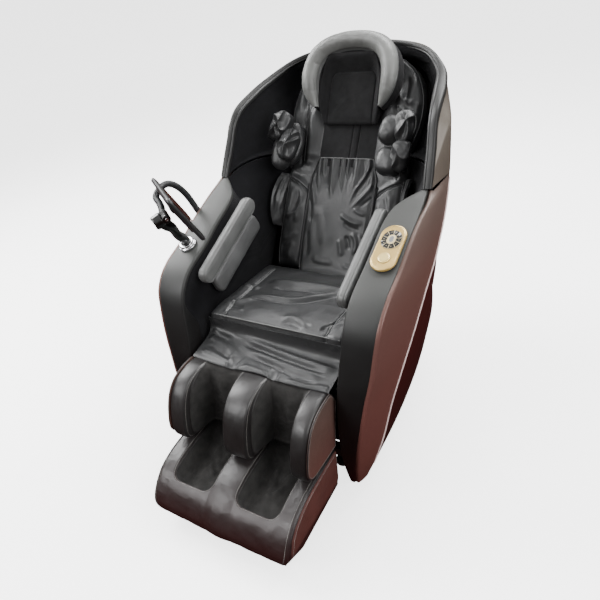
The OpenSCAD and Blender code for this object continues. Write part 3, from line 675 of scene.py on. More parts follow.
def side_leather():
    m = leather("leather_side", (0.10, 0.055, 0.045), 0.48, 0.9, 0.45, wrinkle=0.1)
    z = m.xyz()[2]
    # redder and darker towards the floor: painted red floor bounce and shade
    base = m.ramp(m.rng(z, 0.04, 0.40, 0, 1), [(0.0, (0.080, 0.024, 0.020, 1)), (0.45, (0.092, 0.036, 0.030, 1)), (1.0, (0.090, 0.058, 0.048, 1))])
    m.color(m.mix(0.5, base, m.ramp(m.noise(14, 3), [(0.3, (0.7, 0.7, 0.7, 1)), (0.7, (1.2, 1.2, 1.2, 1))]), "MULTIPLY"))
    v = m.coords((30, 30, 2.5))
    m.bump(m.noise(14, 3, 0.6, vec=v), 0.35, 0.0012)
    return m


L_SIDE = side_leather()


def panel_mat(name, stops, rough=0.33):
    m = Mat(name, stops[-1][1], rough, metal=0.15, spec=0.25, coat=0.05, coat_rough=0.25)
    x, y, z = m.xyz()
    # colour by height: greyer and lighter up high, darker and redder low down; this is painted light from above and a
    # painted red floor bounce near the bottom, laid over the lacquer's own brown
    f = m.rng(z, 0.05, 1.12, 0, 1)
    base = m.ramp(f, stops)
    fl = m.ramp(m.noise(900, 1), [(0.35, (0.88, 0.88, 0.88, 1)), (0.65, (1.1, 1.1, 1.1, 1))])
    m.color(m.mix(1.0, base, fl, "MULTIPLY"))
    m.rough(m.rng(m.noise(10, 3), 0.3, 0.7, rough - 0.03, rough + 0.05))
    m.bump(m.noise(800, 2), 0.03, 0.0002)
    return m


# the stops below grade from painted shade and red floor bounce at the bottom to painted top light up high
P_PANEL = panel_mat("panel_lacquer", [(0.0, (0.125, 0.045, 0.038, 1)), (0.30, (0.135, 0.054, 0.046, 1)), (0.52, (0.130, 0.066, 0.056, 1)), (0.64, (0.118, 0.082, 0.070, 1)), (0.80, (0.120, 0.098, 0.084, 1))])
P_SKIRT = panel_mat("skirt_lacquer", [(0.0, (0.018, 0.0035, 0.0035, 1)), (0.35, (0.046, 0.007, 0.007, 1)), (0.6, (0.055, 0.012, 0.011, 1)), (0.8, (0.06, 0.035, 0.028, 1))])
P_HOOD = panel_mat("hood_lacquer", [(0.0, (0.040, 0.011, 0.009, 1)), (0.50, (0.052, 0.022, 0.018, 1)), (0.64, (0.085, 0.066, 0.052, 1)), (0.85, (0.125, 0.110, 0.092, 1))])


def arm_mat():
    m = plastic("arm_satin", (0.038, 0.0392, 0.037), 0.48, speck=0.05)
    m.b.inputs["Specular IOR Level"].default_value = 0.3
    old = m.b.inputs["Base Color"].links[0].from_socket
    z = m.xyz()[2]
    # down the front face the grey goes black, then dark red near the floor: painted shade below the lit arm top and a
    # painted red floor bounce
    g = m.ramp(m.rng(z, 0.05, 0.80, 0, 1), [(0.0, (0.022, 0.002, 0.002, 1)), (0.22, (0.006, 0.0015, 0.0015, 1)), (0.42, (0.004, 0.003, 0.003, 1)), (0.66, (0.010, 0.010, 0.010, 1)), (0.80, (0.034, 0.035, 0.034, 1)), (1.0, (0.046, 0.0475, 0.045, 1))])
    f = m.rng(z, 0.60, 0.68, 0, 1)
    m.color(m.mix(f, g, old))
    return m


P_ARM = arm_mat()
P_RIM = plastic("rim_satin", (0.0155, 0.0156, 0.015), 0.46, speck=0.05)
P_RIM.b.inputs["Specular IOR Level"].default_value = 0.3
P_RIM2 = plastic("rim_dark", (0.008, 0.008, 0.0078), 0.45, speck=0.05)
P_STRIP = plastic("light_strip", (0.80, 0.62, 0.60), 0.25, coat=0.4, speck=0.03)
P_DARK = plastic("gap_dark", (0.008, 0.007, 0.007), 0.6)
P_GOLD = plastic("gold_lacquer", (0.58, 0.40, 0.13), 0.28, metal=0.45, coat=0.5, speck=0.04)
P_KEYGOLD = plastic("key_gold", (0.72, 0.55, 0.22), 0.30, metal=0.35, coat=0.4, speck=0.04)
P_KEYBLACK = plastic("key_black", (0.008, 0.008, 0.008), 0.22, coat=0.5)
P_KEYGREY = plastic("key_grey", (0.16, 0.165, 0.17), 0.35)
P_CREAM = plastic("key_cream", (0.66, 0.55, 0.32), 0.32, speck=0.04)
P_GLOSS = plastic("gloss_black", (0.006, 0.006, 0.006), 0.12, coat=0.6, coat_rough=0.05)
P_TAB = plastic("tablet_grey", (0.034, 0.0345, 0.035), 0.34, metal=0.4, coat=0.2)
P_TABD = plastic("tablet_dark", (0.012, 0.011, 0.011), 0.30, coat=0.3)
P_SCREEN = plastic("screen_glass", (0.003, 0.0035, 0.004), 0.06, coat=1.0, coat_rough=0.03)
P_RUBBER = plastic("rubber_black", (0.009, 0.009, 0.010), 0.55)
P_COVER = plastic("cover_dark", (0.030, 0.012, 0.012), 0.5)
P_PUMP = plastic("pump_grey", (0.05, 0.05, 0.055), 0.5)
P_GREEN = plastic("control_green", (0.05, 0.09, 0.06), 0.5)
P_TAN = plastic("roller_tan", (0.40, 0.30, 0.17), 0.5)
P_RED = plastic("switch_red", (0.35, 0.02, 0.02), 0.3)
P_FRAME = plastic("powder_coat", (0.022, 0.024, 0.026), 0.45)
M_CHROME = metal("chrome", (0.85, 0.85, 0.87), 0.07)
M_ZINC = metal("zinc", (0.62, 0.63, 0.65), 0.36)
M_STEEL = metal("ground_steel", (0.55, 0.56, 0.58), 0.28, (40, 1, 1))
M_THREAD = fabric("thread_light", (0.24, 0.23, 0.215), 0.7, scale=3000, sheen=0.2)
M_THREADD = fabric("thread_dark", (0.10, 0.10, 0.10), 0.7, scale=3000, sheen=0.2)

NODE_MATS = {"base_frame": P_FRAME, "levelling_feet": P_RUBBER, "wheel_bracket": M_ZINC, "wheel_left": P_RUBBER, "wheel_right": P_RUBBER, "seat_pan": P_FRAME,
             "base_cover": P_COVER, "control_box": P_GREEN, "air_pump": P_PUMP, "power_inlet": P_KEYBLACK, "power_switch": P_RED, "recline_pins": M_ZINC, "leg_rest_pins": M_ZINC,
             "back_frame": P_FRAME, "guide_rails": M_ZINC, "massage_carriage": P_FRAME, "kneading_shaft": M_STEEL, "massage_roller_left": P_TAN, "massage_roller_right": P_TAN,
             "lift_motor": P_PUMP, "leg_rest_frame": P_FRAME, "foot_rollers": P_TAN, "tablet_base_ring": M_CHROME, "tablet_stand": P_GLOSS, "conduit_gland": P_RUBBER}
for n, m in NODE_MATS.items():
    o = frame["nodes"][n]
    if not o.material_slots:
        o.data.materials.append(m.m)
    for s in o.material_slots:
        s.material = m.m

# ------------------------------------------------------------------ camera, light, floor
def make_camera():
    az, el, roll = map(math.radians, (35.1, 31.7, -9.8))
    back = np.array([math.sin(az) * math.cos(el), -math.cos(az) * math.cos(el), math.sin(el)])
    right = np.array([math.cos(az), math.sin(az), 0]); up = np.cross(back, right)
    R0 = np.array([right, -up, -back]); c, s = math.cos(roll), math.sin(roll)
    R = np.array([[c, -s, 0], [s, c, 0], [0, 0, 1]]) @ R0
    cam = bpy.data.cameras.new("photo_camera"); co = bpy.data.objects.new("photo_camera", cam); scene.collection.objects.link(co)
    cam.sensor_width = 36; cam.lens = 541.6 * 36 / 600
    cam.clip_start, cam.clip_end = 0.05, 60
    M3 = Matrix([[R[0][i], -R[1][i], -R[2][i]] for i in range(3)])
    co.matrix_world = Matrix.Translation((0.8424, (-1393.7 + OY) / 1000, 1.3842)) @ M3.to_4x4()
    scene.camera = co


def light(name, loc, target, size, power, color=(1, 1, 1), size_y=None):
    l = bpy.data.lights.new(name, "AREA"); l.energy = power; l.color = color
    l.shape = "RECTANGLE"; l.size = size; l.size_y = size_y or size
    o = bpy.data.objects.new(name, l); scene.collection.objects.link(o)
    o.location = loc
    o.rotation_mode = "QUATERNION"
    o.rotation_quaternion = (Vector(target) - Vector(loc)).to_track_quat("-Z", "Y")
    return o


def make_stage():
    g = np.r_[-90000, -40000, np.linspace(-16000, 16000, 33), 40000, 90000]
    n = len(g)
    X, Y = np.meshgrid(g, g, indexing="ij")
    P = np.stack([X, Y, np.maximum(0, np.hypot(X, Y) - 14000) * 1.1], -1)
    fm = Mat("floor_pale", (0.92, 0.92, 0.92, 1), 0.75, spec=0.0)
    fm.color(fm.ramp(fm.noise(1.5, 2), [(0.3, (0.915, 0.915, 0.918, 1)), (0.7, (0.925, 0.925, 0.925, 1))]))
    fm.b.inputs["Emission Color"].default_value = (1, 1, 1, 1)
    fm.b.inputs["Emission Strength"].default_value = 2.4
    fl = obj("floor", P.reshape(-1, 3), gridf(n, n), None, fm.m, recalc=False)
    # a glowing studio floor that shows behind the chair and throws no light back on it
    fl.visible_diffuse = False; fl.visible_glossy = False; fl.visible_shadow = False
    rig.stage(fl)
    # room light: a bright ceiling, dim walls, a dark red carpet below
    w = bpy.data.worlds.new("studio"); scene.world = w; w.use_nodes = True
    nt = w.node_tree; bg = nt.nodes["Background"]; bg.inputs[1].default_value = 1.0
    tc = nt.nodes.new("ShaderNodeTexCoord"); sp = nt.nodes.new("ShaderNodeSeparateXYZ"); mr = nt.nodes.new("ShaderNodeMapRange"); cr = nt.nodes.new("ShaderNodeValToRGB")
    mr.inputs["From Min"].default_value = -1.0; mr.inputs["From Max"].default_value = 1.0
    nt.links.new(tc.outputs["Generated"], sp.inputs[0]); nt.links.new(sp.outputs["Z"], mr.inputs["Value"])
    nt.links.new(mr.outputs["Result"], cr.inputs["Fac"]); nt.links.new(cr.outputs["Color"], bg.inputs[0])
    stops = [(0.0, (0.05, 0.018, 0.015)), (0.46, (0.07, 0.026, 0.022)), (0.52, (0.16, 0.135, 0.125)), (0.60, (0.40, 0.40, 0.40)), (0.74, (0.85, 0.85, 0.85)), (1.0, (1.05, 1.05, 1.05))]
    el = cr.color_ramp.elements
    el[0].position = stops[0][0]; el[0].color = (*stops[0][1], 1); el[1].position = stops[-1][0]; el[1].color = (*stops[-1][1], 1)
    for q, c in stops[1:-1]:
        e = el.new(q); e.color = (*c, 1)
    light("key_left", (-2.8, 0.2, 3.0), (0, 0, 0.5), 2.2, 235, size_y=1.8)
    light("top_back", (0.5, 1.7, 3.4), (0, 0.1, 0.6), 2.6, 170, size_y=1.2)
    light("front_left", (-1.9, -3.0, 2.5), (0, -0.1, 0.6), 1.8, 105, size_y=1.5)
    light("fill_right", (3.3, -0.9, 2.1), (0.3, -0.1, 0.45), 2.4, 120, size_y=2.4)


make_camera()
make_stage()

# ------------------------------------------------------------------ fixed shells
def both_sides(name, make, body, mats, **k):
    """make() gives the parts on the +x side; the other side is its mirror"""
    rl = k.pop("replaces", ())
    out = []
    for side in ("left", "right"):
        p = make()
        if side == "right":
            p = mirror_parts(p)
        out.append(from_parts(f"{name}_{side}", p, body, mats, replaces=[n + "_" + side for n in rl], **k))
    return out


def edge_curves(nz=120):
    """front edge and crease of the side panel, 3d, from the floor to the hood seam"""
    ze = np.linspace(56, 797, nz); zc = np.linspace(56, 812, nz)
    return np.stack([ex(ze), ey(ze), ze], 1), np.stack([cx(zc), cy(zc), zc], 1)


def panel_grid(E, C, nj=16, r=7.0, lip=9.0):
    """outer face of the panel with its front edge rolled round, from the inside of the lip to the crease"""
    T = unit(np.gradient(E, axis=0))
    d = C - E; d = unit(d - T * np.sum(d * T, -1, keepdims=True))
    n = unit(np.cross(T, d)); n = n * np.sign(n[:, :1])
    cols = []
    ctr = E + d * r - n * r
    cols.append(ctr - d * r * 0.97 - n * lip)
    cols.append(ctr - d * r - n * lip * 0.5)
    for a in np.linspace(90, 0, 7):
        b = math.radians(a)
        cols.append(ctr + n * r * math.cos(b) - d * r * math.sin(b))
    L = np.linalg.norm(C - E, axis=1)[:, None]
    for j in np.linspace(0, 1, nj)[1:]:
        base = E + d * r + (C - E - d * r) * j
        cols.append(base + n * 3.0 * np.sin(np.pi * j) * np.minimum(1, L / 120))
    # turned-in rear edge at the crease
    cols.append(C + unit(C - E) * 2.0 - n * 1.5)
    cols.append(C + unit(C - E) * 2.6 - n * 6.0)
    return np.stack(cols, 1)


def make_side_panel():
    E, C = edge_curves()
    P = panel_grid(E, C)
    p = Parts()
    p.grid(P, mat=0)
    # inner face so that it is a solid wall
    N = normals(P)
    s = np.sign(np.mean(N[:, 8:14, 0])); N = N * s
    Q = P.copy(); Q[:, 3:-2] = P[:, 3:-2] - N[:, 3:-2] * 5.0
    Q[:, :3] = P[:, :3] + (Q[:, 3:4] - P[:, 3:4]) * 0.6
    Q[:, -2:] = P[:, -2:] - N[:, -3:-2] * 4.0
    return shell_between(P, Q)


def shell_between(P, Q, mat=0, matin=None):
    """closed solid between two grids"""
    p = Parts()
    m, n = P.shape[:2]; k = m * n
    F = [list(f) for f in gridf(m, n)] + [list(f) for f in gridf(m, n, off=k, flip=True)]
    ring = [i * n for i in range(m)] + [(m - 1) * n + j for j in range(1, n)] + [i * n + n - 1 for i in range(m - 2, -1, -1)] + [j for j in range(n - 2, 0, -1)]
    for a, b in zip(ring, ring[1:] + ring[:1]):
        F.append([b, a, a + k, b + k])
    p.add(np.vstack([P.reshape(-1, 3), Q.reshape(-1, 3)]), F, mat)
    if matin is not None:
        h = (m - 1) * (n - 1)
        p.m[h:2 * h] = [matin] * h
    return p


def arcz(r, y):
    return HZ + np.sqrt(np.maximum(0, r * r - (y - HY) ** 2))


def arcy(r, z):
    return HY + np.sqrt(np.maximum(0, r * r - (z - HZ) ** 2))


def out_r(P, r):
    """moves points outside radius r about the recline pivot"""
    P = np.array(P, float)
    d = P[..., 1:] - [HY, HZ]; l = np.linalg.norm(d, axis=-1, keepdims=True)
    f = np.where(l >= np.asarray(r)[..., None] if np.ndim(r) else l >= r, 1.0, (np.asarray(r)[..., None] if np.ndim(r) else r) / np.maximum(l, 1))
    P[..., 1:] = [HY, HZ] + d * f
    return P


def in_r(P, r):
    P = np.array(P, float)
    d = P[..., 1:] - [HY, HZ]; l = np.linalg.norm(d, axis=-1, keepdims=True)
    P[..., 1:] = [HY, HZ] + d * np.minimum(1, r / np.maximum(l, 1))
    return P


def make_skirt():
    nz, ny = 100, 44
    z = np.linspace(58, 811, nz)
    rows = []
    for zz in z:
        c = float(cy(zz)) + 2.2
        rr = float(yw(236, zz))
        if zz > HZ:
            rr = min(rr, float(arcy(395.5, zz)))
        rr = max(rr, c + 6)
        t = np.linspace(0, 1, ny)
        t = 1 - (1 - t) ** 1.35
        y = c + (rr - c) * t
        rows.append(np.stack([W(y, zz) - 0.6, y, np.full(ny, zz)], 1))
    P = np.array(rows)
    P = in_r(P, 395.5) if False else P
    N = normals(P); N *= np.sign(N[..., :1] + 1e-9)
    Q = P - N * 4.5
    return shell_between(P, Q, 0, 1)


def make_strip():
    z = np.linspace(104, 803, 140)
    c = np.stack([cx(z), cy(z), z], 1)
    T = unit(np.gradient(c, axis=0)); V = unit(np.cross(T, [1.0, 0, 0])); V *= np.sign(V[:, 1:2])
    w = 4.4 * np.minimum(1, np.minimum((z - 100) / 30, (806 - z) / 30))
    prof = [(-1.0, -2.0), (-1.0, 0.6), (-0.6, 1.5), (0, 1.9), (0.6, 1.5), (1.0, 0.6), (1.0, -2.0)]
    G = np.stack([c + V * (a * w)[:, None] + np.array([1, 0, 0]) * b for a, b in prof], 1)
    p = Parts(); m_, n_ = G.shape[:2]
    p.grid(G, cv=True)
    p.add(G[0], [list(range(n_))]); p.add(G[-1], [list(range(n_))])
    return p


AN = None


def arm_path(n=150):
    """dense arm top path: depth, height, outward normal, inner and outer half width"""
    A = spline(np.column_stack([AP, AO, AI]), 1500)
    L = np.r_[0, np.cumsum(np.linalg.norm(np.diff(A[:, :2], axis=0), axis=1))]
    w = np.linspace(0, L[-1], n)
    A = np.column_stack([np.interp(w, L, A[:, k]) for k in range(4)])
    T = unit(np.gradient(A[:, :2], axis=0))
    N = np.column_stack([T[:, 1], -T[:, 0]])
    N *= np.sign(N[:, 1:2] * 0 + np.where(N[:, 0:1] * -1 + N[:, 1:2] > 0, 1, -1))
    return A, T, N


def make_arm_cap():
    A, T, N = arm_path()
    n = len(A)
    # front part blends from the spline of the arm to the same depth as the panel edge
    x1 = A[:, 2] - 10.5; x0 = A[:, 3]
    P3 = lambda x, h, t=0: np.stack([x, A[:, 0] + N[:, 0] * h + T[:, 0] * t, A[:, 1] + N[:, 1] * h + T[:, 1] * t], 1)
    front = smooth(560, 470, A[:, 1])
    deep = 14 + 46 * front
    ri = 7.0
    cols = [P3(x0 + 1.5, -deep), P3(x0 + 0.3, -deep * 0.5 - 3)]
    for a in (180, 160, 140, 120, 100, 90):
        b = math.radians(a)
        cols.append(P3(x0 + ri + ri * math.cos(b), -ri + ri * math.sin(b) + 0.6))
    wid = x1 - x0
    for u in np.linspace(0, 1, 14)[1:-1]:
        x = x0 + ri + (wid - ri - 2.5) * u
        cols.append(P3(x, 0.6 + 2.2 * np.sin(np.pi * u) ** 0.8 * np.minimum(1, wid / 60)))
    for a in (90, 60, 30, 0):
        b = math.radians(a)
        cols.append(P3(x1 - 2.5 + 2.5 * math.cos(b), -2.5 + 2.5 * math.sin(b) + 0.6))
    cols.append(P3(x1, -9.0 + 0 * wid))
    G = np.stack(cols, 1)
    Q = G.copy()
    # underside
    Q = np.stack([P3(x0 + 6, -deep)] + [P3(x0 + 6, -deep * 0.5 - 4)] + [P3(x0 + np.minimum(wid - 6, 9), -9.0 + 0 * wid)] * 6 + [P3(x0 + 9 + (wid - 16) * u, -9.0 + 0 * wid) for u in np.linspace(0, 1, 12)] + [P3(x1 - 4, -9.0 + 0 * wid)] * 5, 1)
    return shell_between(G, Q)


def make_arm_liner():
    A, T, N = arm_path(160)
    seg = A[:, 1] > 300
    top = np.stack([A[seg, 3] + 2.5, A[seg, 0] - N[seg, 0] * 10, A[seg, 1] - N[seg, 1] * 10], 1)[::-1]     # front end first
    top = top[top[:, 1] < -8]
    ya = np.linspace(-6, 252, 70)[1:]
    o = np.array([343, -6, 797.0])
    B = np.array([224, 213, 810.0])
    C = np.array([o[0] + (B[0] - o[0]) * 0.12, o[1] + (B[1] - o[1]) * 0.75, 0])
    t = np.linspace(0, 1, 200)[:, None]
    Q = o * (1 - t) ** 2 + C * 2 * t * (1 - t) + B * t * t
    xa = np.interp(ya, Q[:, 1], Q[:, 0])
    arc = np.stack([xa - 1.0, ya, arcz(394.6, ya)], 1)
    top = np.vstack([top, arc])
    # bottom edge below each top point
    y = top[:, 1]
    zb = np.where(y > 30, 472.8 + (y - 41) / 0.5563 * 0.831 - 22, 330.0)
    zb = np.interp(y, [-440, -60, 0, 30, 252], [330, 330, 400, 456.4 - 22, 788 - 22])
    zb = np.minimum(zb, top[:, 2] - 6)
    v = np.linspace(0, 1, 26) ** 1.3
    G = []
    for k in range(len(top)):
        z = top[k, 2] + (zb[k] - top[k, 2]) * v
        depth = top[k, 2] - z
        base = 262.0 if y[k] < 120 else np.interp(y[k], [120, 252], [262, 232])
        f = np.exp(-(depth / 95.0) ** 1.6)
        x = base + (top[k, 0] - base) * f
        yy = np.full(len(v), y[k])
        if y[k] < -380:
            yy = y[k] + (np.minimum(1, depth / 60)) * np.interp(y[k], [-440, -380], [16, 0])
        G.append(np.stack([x, yy, z], 1))
    G = np.array(G)
    N3 = normals(G); N3 *= -np.sign(N3[..., :1] + 1e-9)   # towards the sitter
    return shell_between(G, G - N3 * 3.0)


def rim_dense(n=170):
    R = spline(np.column_stack([RO, RI]), n)
    o, q = R[:, :3].copy(), R[:, 3:].copy()
    o[-1, 0] = 0; q[-1, 0] = 0
    return o, q


def hood_grids(na=110, nk=40):
    o, q = rim_dense(400)
    d = o[:, 1:] - [HY, HZ]
    ang = np.degrees(np.arctan2(d[:, 1], d[:, 0])); rad = np.linalg.norm(d, axis=1)
    i = np.argsort(ang)
    rim_r = lambda a: np.interp(a, ang[i], rad[i])
    rim_x = lambda a: np.interp(a, ang[i], o[i, 0])
    a0 = float(ang.min())
    A = np.r_[np.linspace(33.4, a0 - 0.05, na // 2), np.linspace(a0 + 0.05, 107.6, na // 2)]
    rows = []
    for a in A:
        ca, sa = math.cos(math.radians(a)), math.sin(math.radians(a))
        if a < a0:
            lo, hi = 395.0, 900.0
            for _ in range(40):
                m_ = (lo + hi) / 2; y_, z_ = HY + m_ * ca, HZ + m_ * sa
                if z_ < 1124 and y_ < float(ry(min(z_, 1125))): lo = m_
                else: hi = m_
            rm = lo
        else:
            rm = float(rim_r(a))
        rs = max(398.6, (707 - HZ) / sa)
        k = np.sin(np.pi / 2 * np.linspace(0, 1, nk))
        r = rs + (rm - rs) * k
        y, z = HY + r * ca, HZ + r * sa
        x = np.minimum(W(y, z), 395)
        if a < a0:
            x[-1] = 0
        else:
            xr = float(rim_x(a)); w = smooth(0.72, 1.0, k); x = x * (1 - w) + xr * w + 0 * w
        rows.append(np.stack([x, y, z], 1))
    return np.array(rows), A, a0


def make_hood():
    P, A, a0 = hood_grids()
    N = normals(P); N *= np.sign(np.sum(N * (P - np.array([0, 250, 800.0])), -1, keepdims=True))
    # the wall thins out under the edge band
    k = np.sin(np.pi / 2 * np.linspace(0, 1, P.shape[1]))
    Q = P - N * (4.5 - 4.1 * smooth(0.86, 0.96, k)[None, :] * (A >= a0)[:, None])[..., None]
    Q[..., 0] = np.maximum(Q[..., 0], 0)
    Q[P[..., 0] < 1e-6, 0] = 0
    p = shell_between(P, Q, 0, 1)
    q = mirror_parts(p)
    p.v += q.v; p.f += [[a + p.n for a in f] for f in q.f]; p.m += q.m; p.n += q.n
    return p


def make_back_cover():
    nz, nx = 50, 61
    z = np.linspace(436, 704, nz); u = np.linspace(-1, 1, nx)
    x = 231 * np.sin(np.pi / 2 * u)
    X, Z = np.meshgrid(x, z)
    Y = yw(np.abs(X), Z)
    # pressed panel field with a raised border
    d = np.minimum(np.minimum((231 - np.abs(X)) / 26, (Z - 436) / 26), (704 - Z) / 26)
    P = np.stack([X, Y - 5 * smooth(0.75, 1.0, d) + 0.5, Z], -1)
    # louvres
    lv = ((np.abs(X) < 120) & (Z > 500) & (Z < 640))
    P[..., 1] -= np.where(lv, 2.2 * (0.5 + 0.5 * np.cos((Z - 500) / 140 * 2 * np.pi * 7)), 0) * smooth(120, 112, np.abs(X)) * smooth(500, 506, Z) * smooth(640, 634, Z)
    N = normals(P); N *= np.sign(N[..., 1:2])
    Q = P - N * 4
    return shell_between(P, Q, 0, 1)


def make_rim():
    o, q = rim_dense(170)
    T = unit(np.gradient(o, axis=0))
    wv = q - o; wl = np.linalg.norm(wv, axis=1, keepdims=True); wu = wv / np.maximum(wl, 1e-6)
    n = unit(np.cross(wu, T))
    ref = np.array([0, -1.0, 0.35]); n *= np.sign(n @ ref)[:, None]
    # at the crown the band turns from facing forward to facing up
    wd = np.maximum(wl[:, 0], 14)
    prof = [(-0.03, -9), (-0.035, -4), (-0.02, 0), (0.02, 3.0), (0.10, 4.6), (0.24, 5.2), (0.42, 5.3), (0.60, 5.0), (0.665, 4.4), (0.69, 2.6), (0.71, 2.4), (0.73, 4.0), (0.80, 4.4), (0.90, 4.0), (0.97, 2.2), (1.005, -1.5), (1.01, -7), (0.8, -8), (0.4, -8)]
    G = np.stack([o + wu * (a * wd)[:, None] + n * b for a, b in prof], 1)
    G[-1, :, 0] = 0; G = G[:, ::-1]
    G[0] += (T[0] * 0)
    p = Parts(); m_, n_ = G.shape[:2]
    mats = []
    F = gridf(m_, n_, cv=True)
    base = Parts(); base.add(G.reshape(-1, 3), F, 0)
    # darker inner strip past the groove
    for f in range(len(F)):
        j = f % n_
        jj = n_ - 1 - j
        base.m[f] = 1 if 10 <= jj <= 15 else 0
    base.add(G[0], [list(range(n_))], 0)
    q2 = mirror_parts(base)
    base.v += q2.v; base.f += [[a + base.n for a in f] for f in q2.f]; base.m += q2.m; base.n += q2.n
    return base


LQ = np.array([222, 222, 224, 228, 232, 240, 246, 246, 238, 219, 183, 151, 104, 52, 0], float)


def make_lining():
    o, q = rim_dense(120)
    n = len(o)
    i = np.linspace(0, 14, n)
    lq = np.interp(i, np.arange(15), LQ)
    rm = 400.3 + 6 * np.minimum(i, 5)
    src = q + np.array([1.5, 3, -3]) * np.minimum(1, (14 - i) / 1)[:, None] + np.array([0, 3, -3]) * (1 - np.minimum(1, (14 - i)))[:, None]
    src = out_r(src, rm + 1.2)
    dy, dz = src[:, 1] - HY, src[:, 2] - HZ
    s = dy * math.cos(BA) + dz * math.sin(BA)
    sq = np.minimum(s - 14, 706)
    B = np.stack([lq, HY + sq * math.cos(BA) - 84 * math.sin(BA), HZ + sq * math.sin(BA) + 84 * math.cos(BA)], 1)
    B = out_r(B, rm)
    C = np.stack([src[:, 0] + (B[:, 0] - src[:, 0]) * 0.12, src[:, 1] + (B[:, 1] - src[:, 1]) * 0.75, src[:, 2] + (B[:, 2] - src[:, 2]) * 0.75], 1)
    t = np.linspace(0, 1, 30)[None, :, None]
    P = src[:, None] * (1 - t) ** 2 + C[:, None] * 2 * t * (1 - t) + B[:, None] * t * t
    P = out_r(P, np.broadcast_to(rm[:, None], P.shape[:2]))
    v = P - np.array([0, HY, HZ]); v[..., 0] = 0
    Q = P + unit(v) * 3.0
    P[-1, :, 0] = 0; Q[-1, :, 0] = 0
    p = shell_between(P, Q)
    q2 = mirror_parts(p)
    p.v += q2.v; p.f += [[a + p.n for a in f] for f in q2.f]; p.m += q2.m; p.n += q2.n
    return p


SHARP = 38
both_sides("panel", make_side_panel, "root", [P_PANEL], replaces=["side_panel"], slot="panel_brown", sharp=SHARP)
both_sides("skirt", make_skirt, "root", [P_SKIRT, P_DARK], replaces=["side_skirt"], slot="skirt_maroon", sharp=SHARP)
both_sides("strip", make_strip, "root", [P_STRIP], replaces=["light_strip"], slot="strip_pink", sharp=60)
both_sides("arm_top", make_arm_cap, "root", [P_ARM], replaces=["arm_cap"], slot="arm_grey", sharp=SHARP)
def make_liner_return():
    """the liner turns inward behind the leg rest: a narrow curtain with soft ribs"""
    nu, nv = 40, 60
    u = np.linspace(0, 1, nu); z = np.linspace(79, 318, nv)
    U, Z = np.meshgrid(u, z, indexing="ij")
    X = 264 - 126 * U
    Y = -362 + 8 * U ** 2 + 2.0 * np.sin(U * 22.0) + 1.5 * np.cos(Z / 37.0) * U
    G = np.stack([X, Y, Z], -1)
    N = normals(G); N *= -np.sign(N[..., 1:2])
    return shell_between(G, G - N * 2.4)


both_sides("arm_inner_return", make_liner_return, "root", [F_LINING], slot="lining_black", sharp=60)
both_sides("arm_inner", make_arm_liner, "root", [F_LINING], replaces=["arm_liner"], slot="lining_black", sharp=60)
from_parts("hood_outer", make_hood(), "back", [P_HOOD, F_LINING], replaces=["hood_shell"], slot="hood_brown", merge=0.02, sharp=SHARP)
from_parts("rear_cover", make_back_cover(), "back", [P_SKIRT, P_DARK], replaces=["back_cover"], slot="skirt_maroon", sharp=SHARP)
from_parts("hood_edge", make_rim(), "back", [P_RIM, P_RIM2], replaces=["hood_rim"], slot="rim_grey", merge=0.02, sharp=SHARP)
from_parts("hood_inner", make_lining(), "back", [F_LINING], replaces=["hood_lining"], slot="lining_black", merge=0.02, sharp=60)

# ------------------------------------------------------------------ soft parts: helpers
def pad_between(F, B, mat=0):
    """closed solid between a front grid and a back grid"""
    return shell_between(F, B, mat)


def roll_off(e, R):
    """how far a surface has dropped at distance e from its edge, for an edge rounded with radius R"""
    q = np.clip(R - np.asarray(e, float), 0, R)
    return R - np.sqrt(np.maximum(R * R - q * q, 0))


def path3(fn, pts, n=120):
    """a dense line on a surface: pts are surface parameters, fn gives the 3d point"""
    Q = spline(pts, n) if len(pts) > 2 else np.linspace(pts[0], pts[1], n)
    return fn(Q[:, 0], Q[:, 1])


# ------------------------------------------------------------------ back cushion (in the back's own frame)
BO = np.array([[-22, 218], [60, 226], [250, 226], [390, 226], [440, 238], [530, 248], [600, 236], [655, 205], [700, 150]], float)
hw = lambda s: pchip(s, BO)


def mir(lst):
    """the same folds on the other side"""
    return [([[-a, b] for a, b in f[0]],) + tuple(f[1:]) for f in lst]


BACK_SEAMS = [
    ([[128, -20], [124, 60], [124, 150], [126, 240], [128, 270]], 5, -7, 0, 0),
    ([[126, 240], [160, 268], [205, 290], [236, 300]], 5, -9, 0.05, 0),
]
BACK_FOLDS_R = [
    ([[150, 620], [165, 560], [160, 500], [150, 450]], 13, 7), ([[205, 640], [198, 580], [205, 520]], 12, 6), ([[176, 640], [182, 590], [172, 540]], 8, -5),
    ([[228, 560], [222, 520], [226, 480]], 9, 5), ([[140, 600], [175, 560], [215, 545]], 8, 6), ([[150, 540], [185, 520], [220, 500]], 9, 5), ([[145, 500], [180, 490], [215, 460]], 7, -4),
    ([[140, 230], [150, 190], [160, 120]], 10, 3.5), ([[190, 260], [180, 200], [190, 140]], 12, 4), ([[160, 250], [175, 215], [172, 170]], 7, -3.0),
    ([[215, 240], [205, 180], [212, 110]], 9, 3), ([[150, 90], [165, 40], [160, 0]], 10, 3), ([[185, 80], [195, 30], [190, -10]], 10, -3),
    ([[132, 330], [142, 400], [140, 470], [132, 560]], 13, 9, 0.1, 0.2), ([[165, 330], [160, 400], [168, 470]], 7, -5, 0.1, 0.2),
    ([[200, 330], [205, 380], [200, 440]], 12, 5), ([[182, 345], [190, 300], [215, 310]], 8, 4),
]
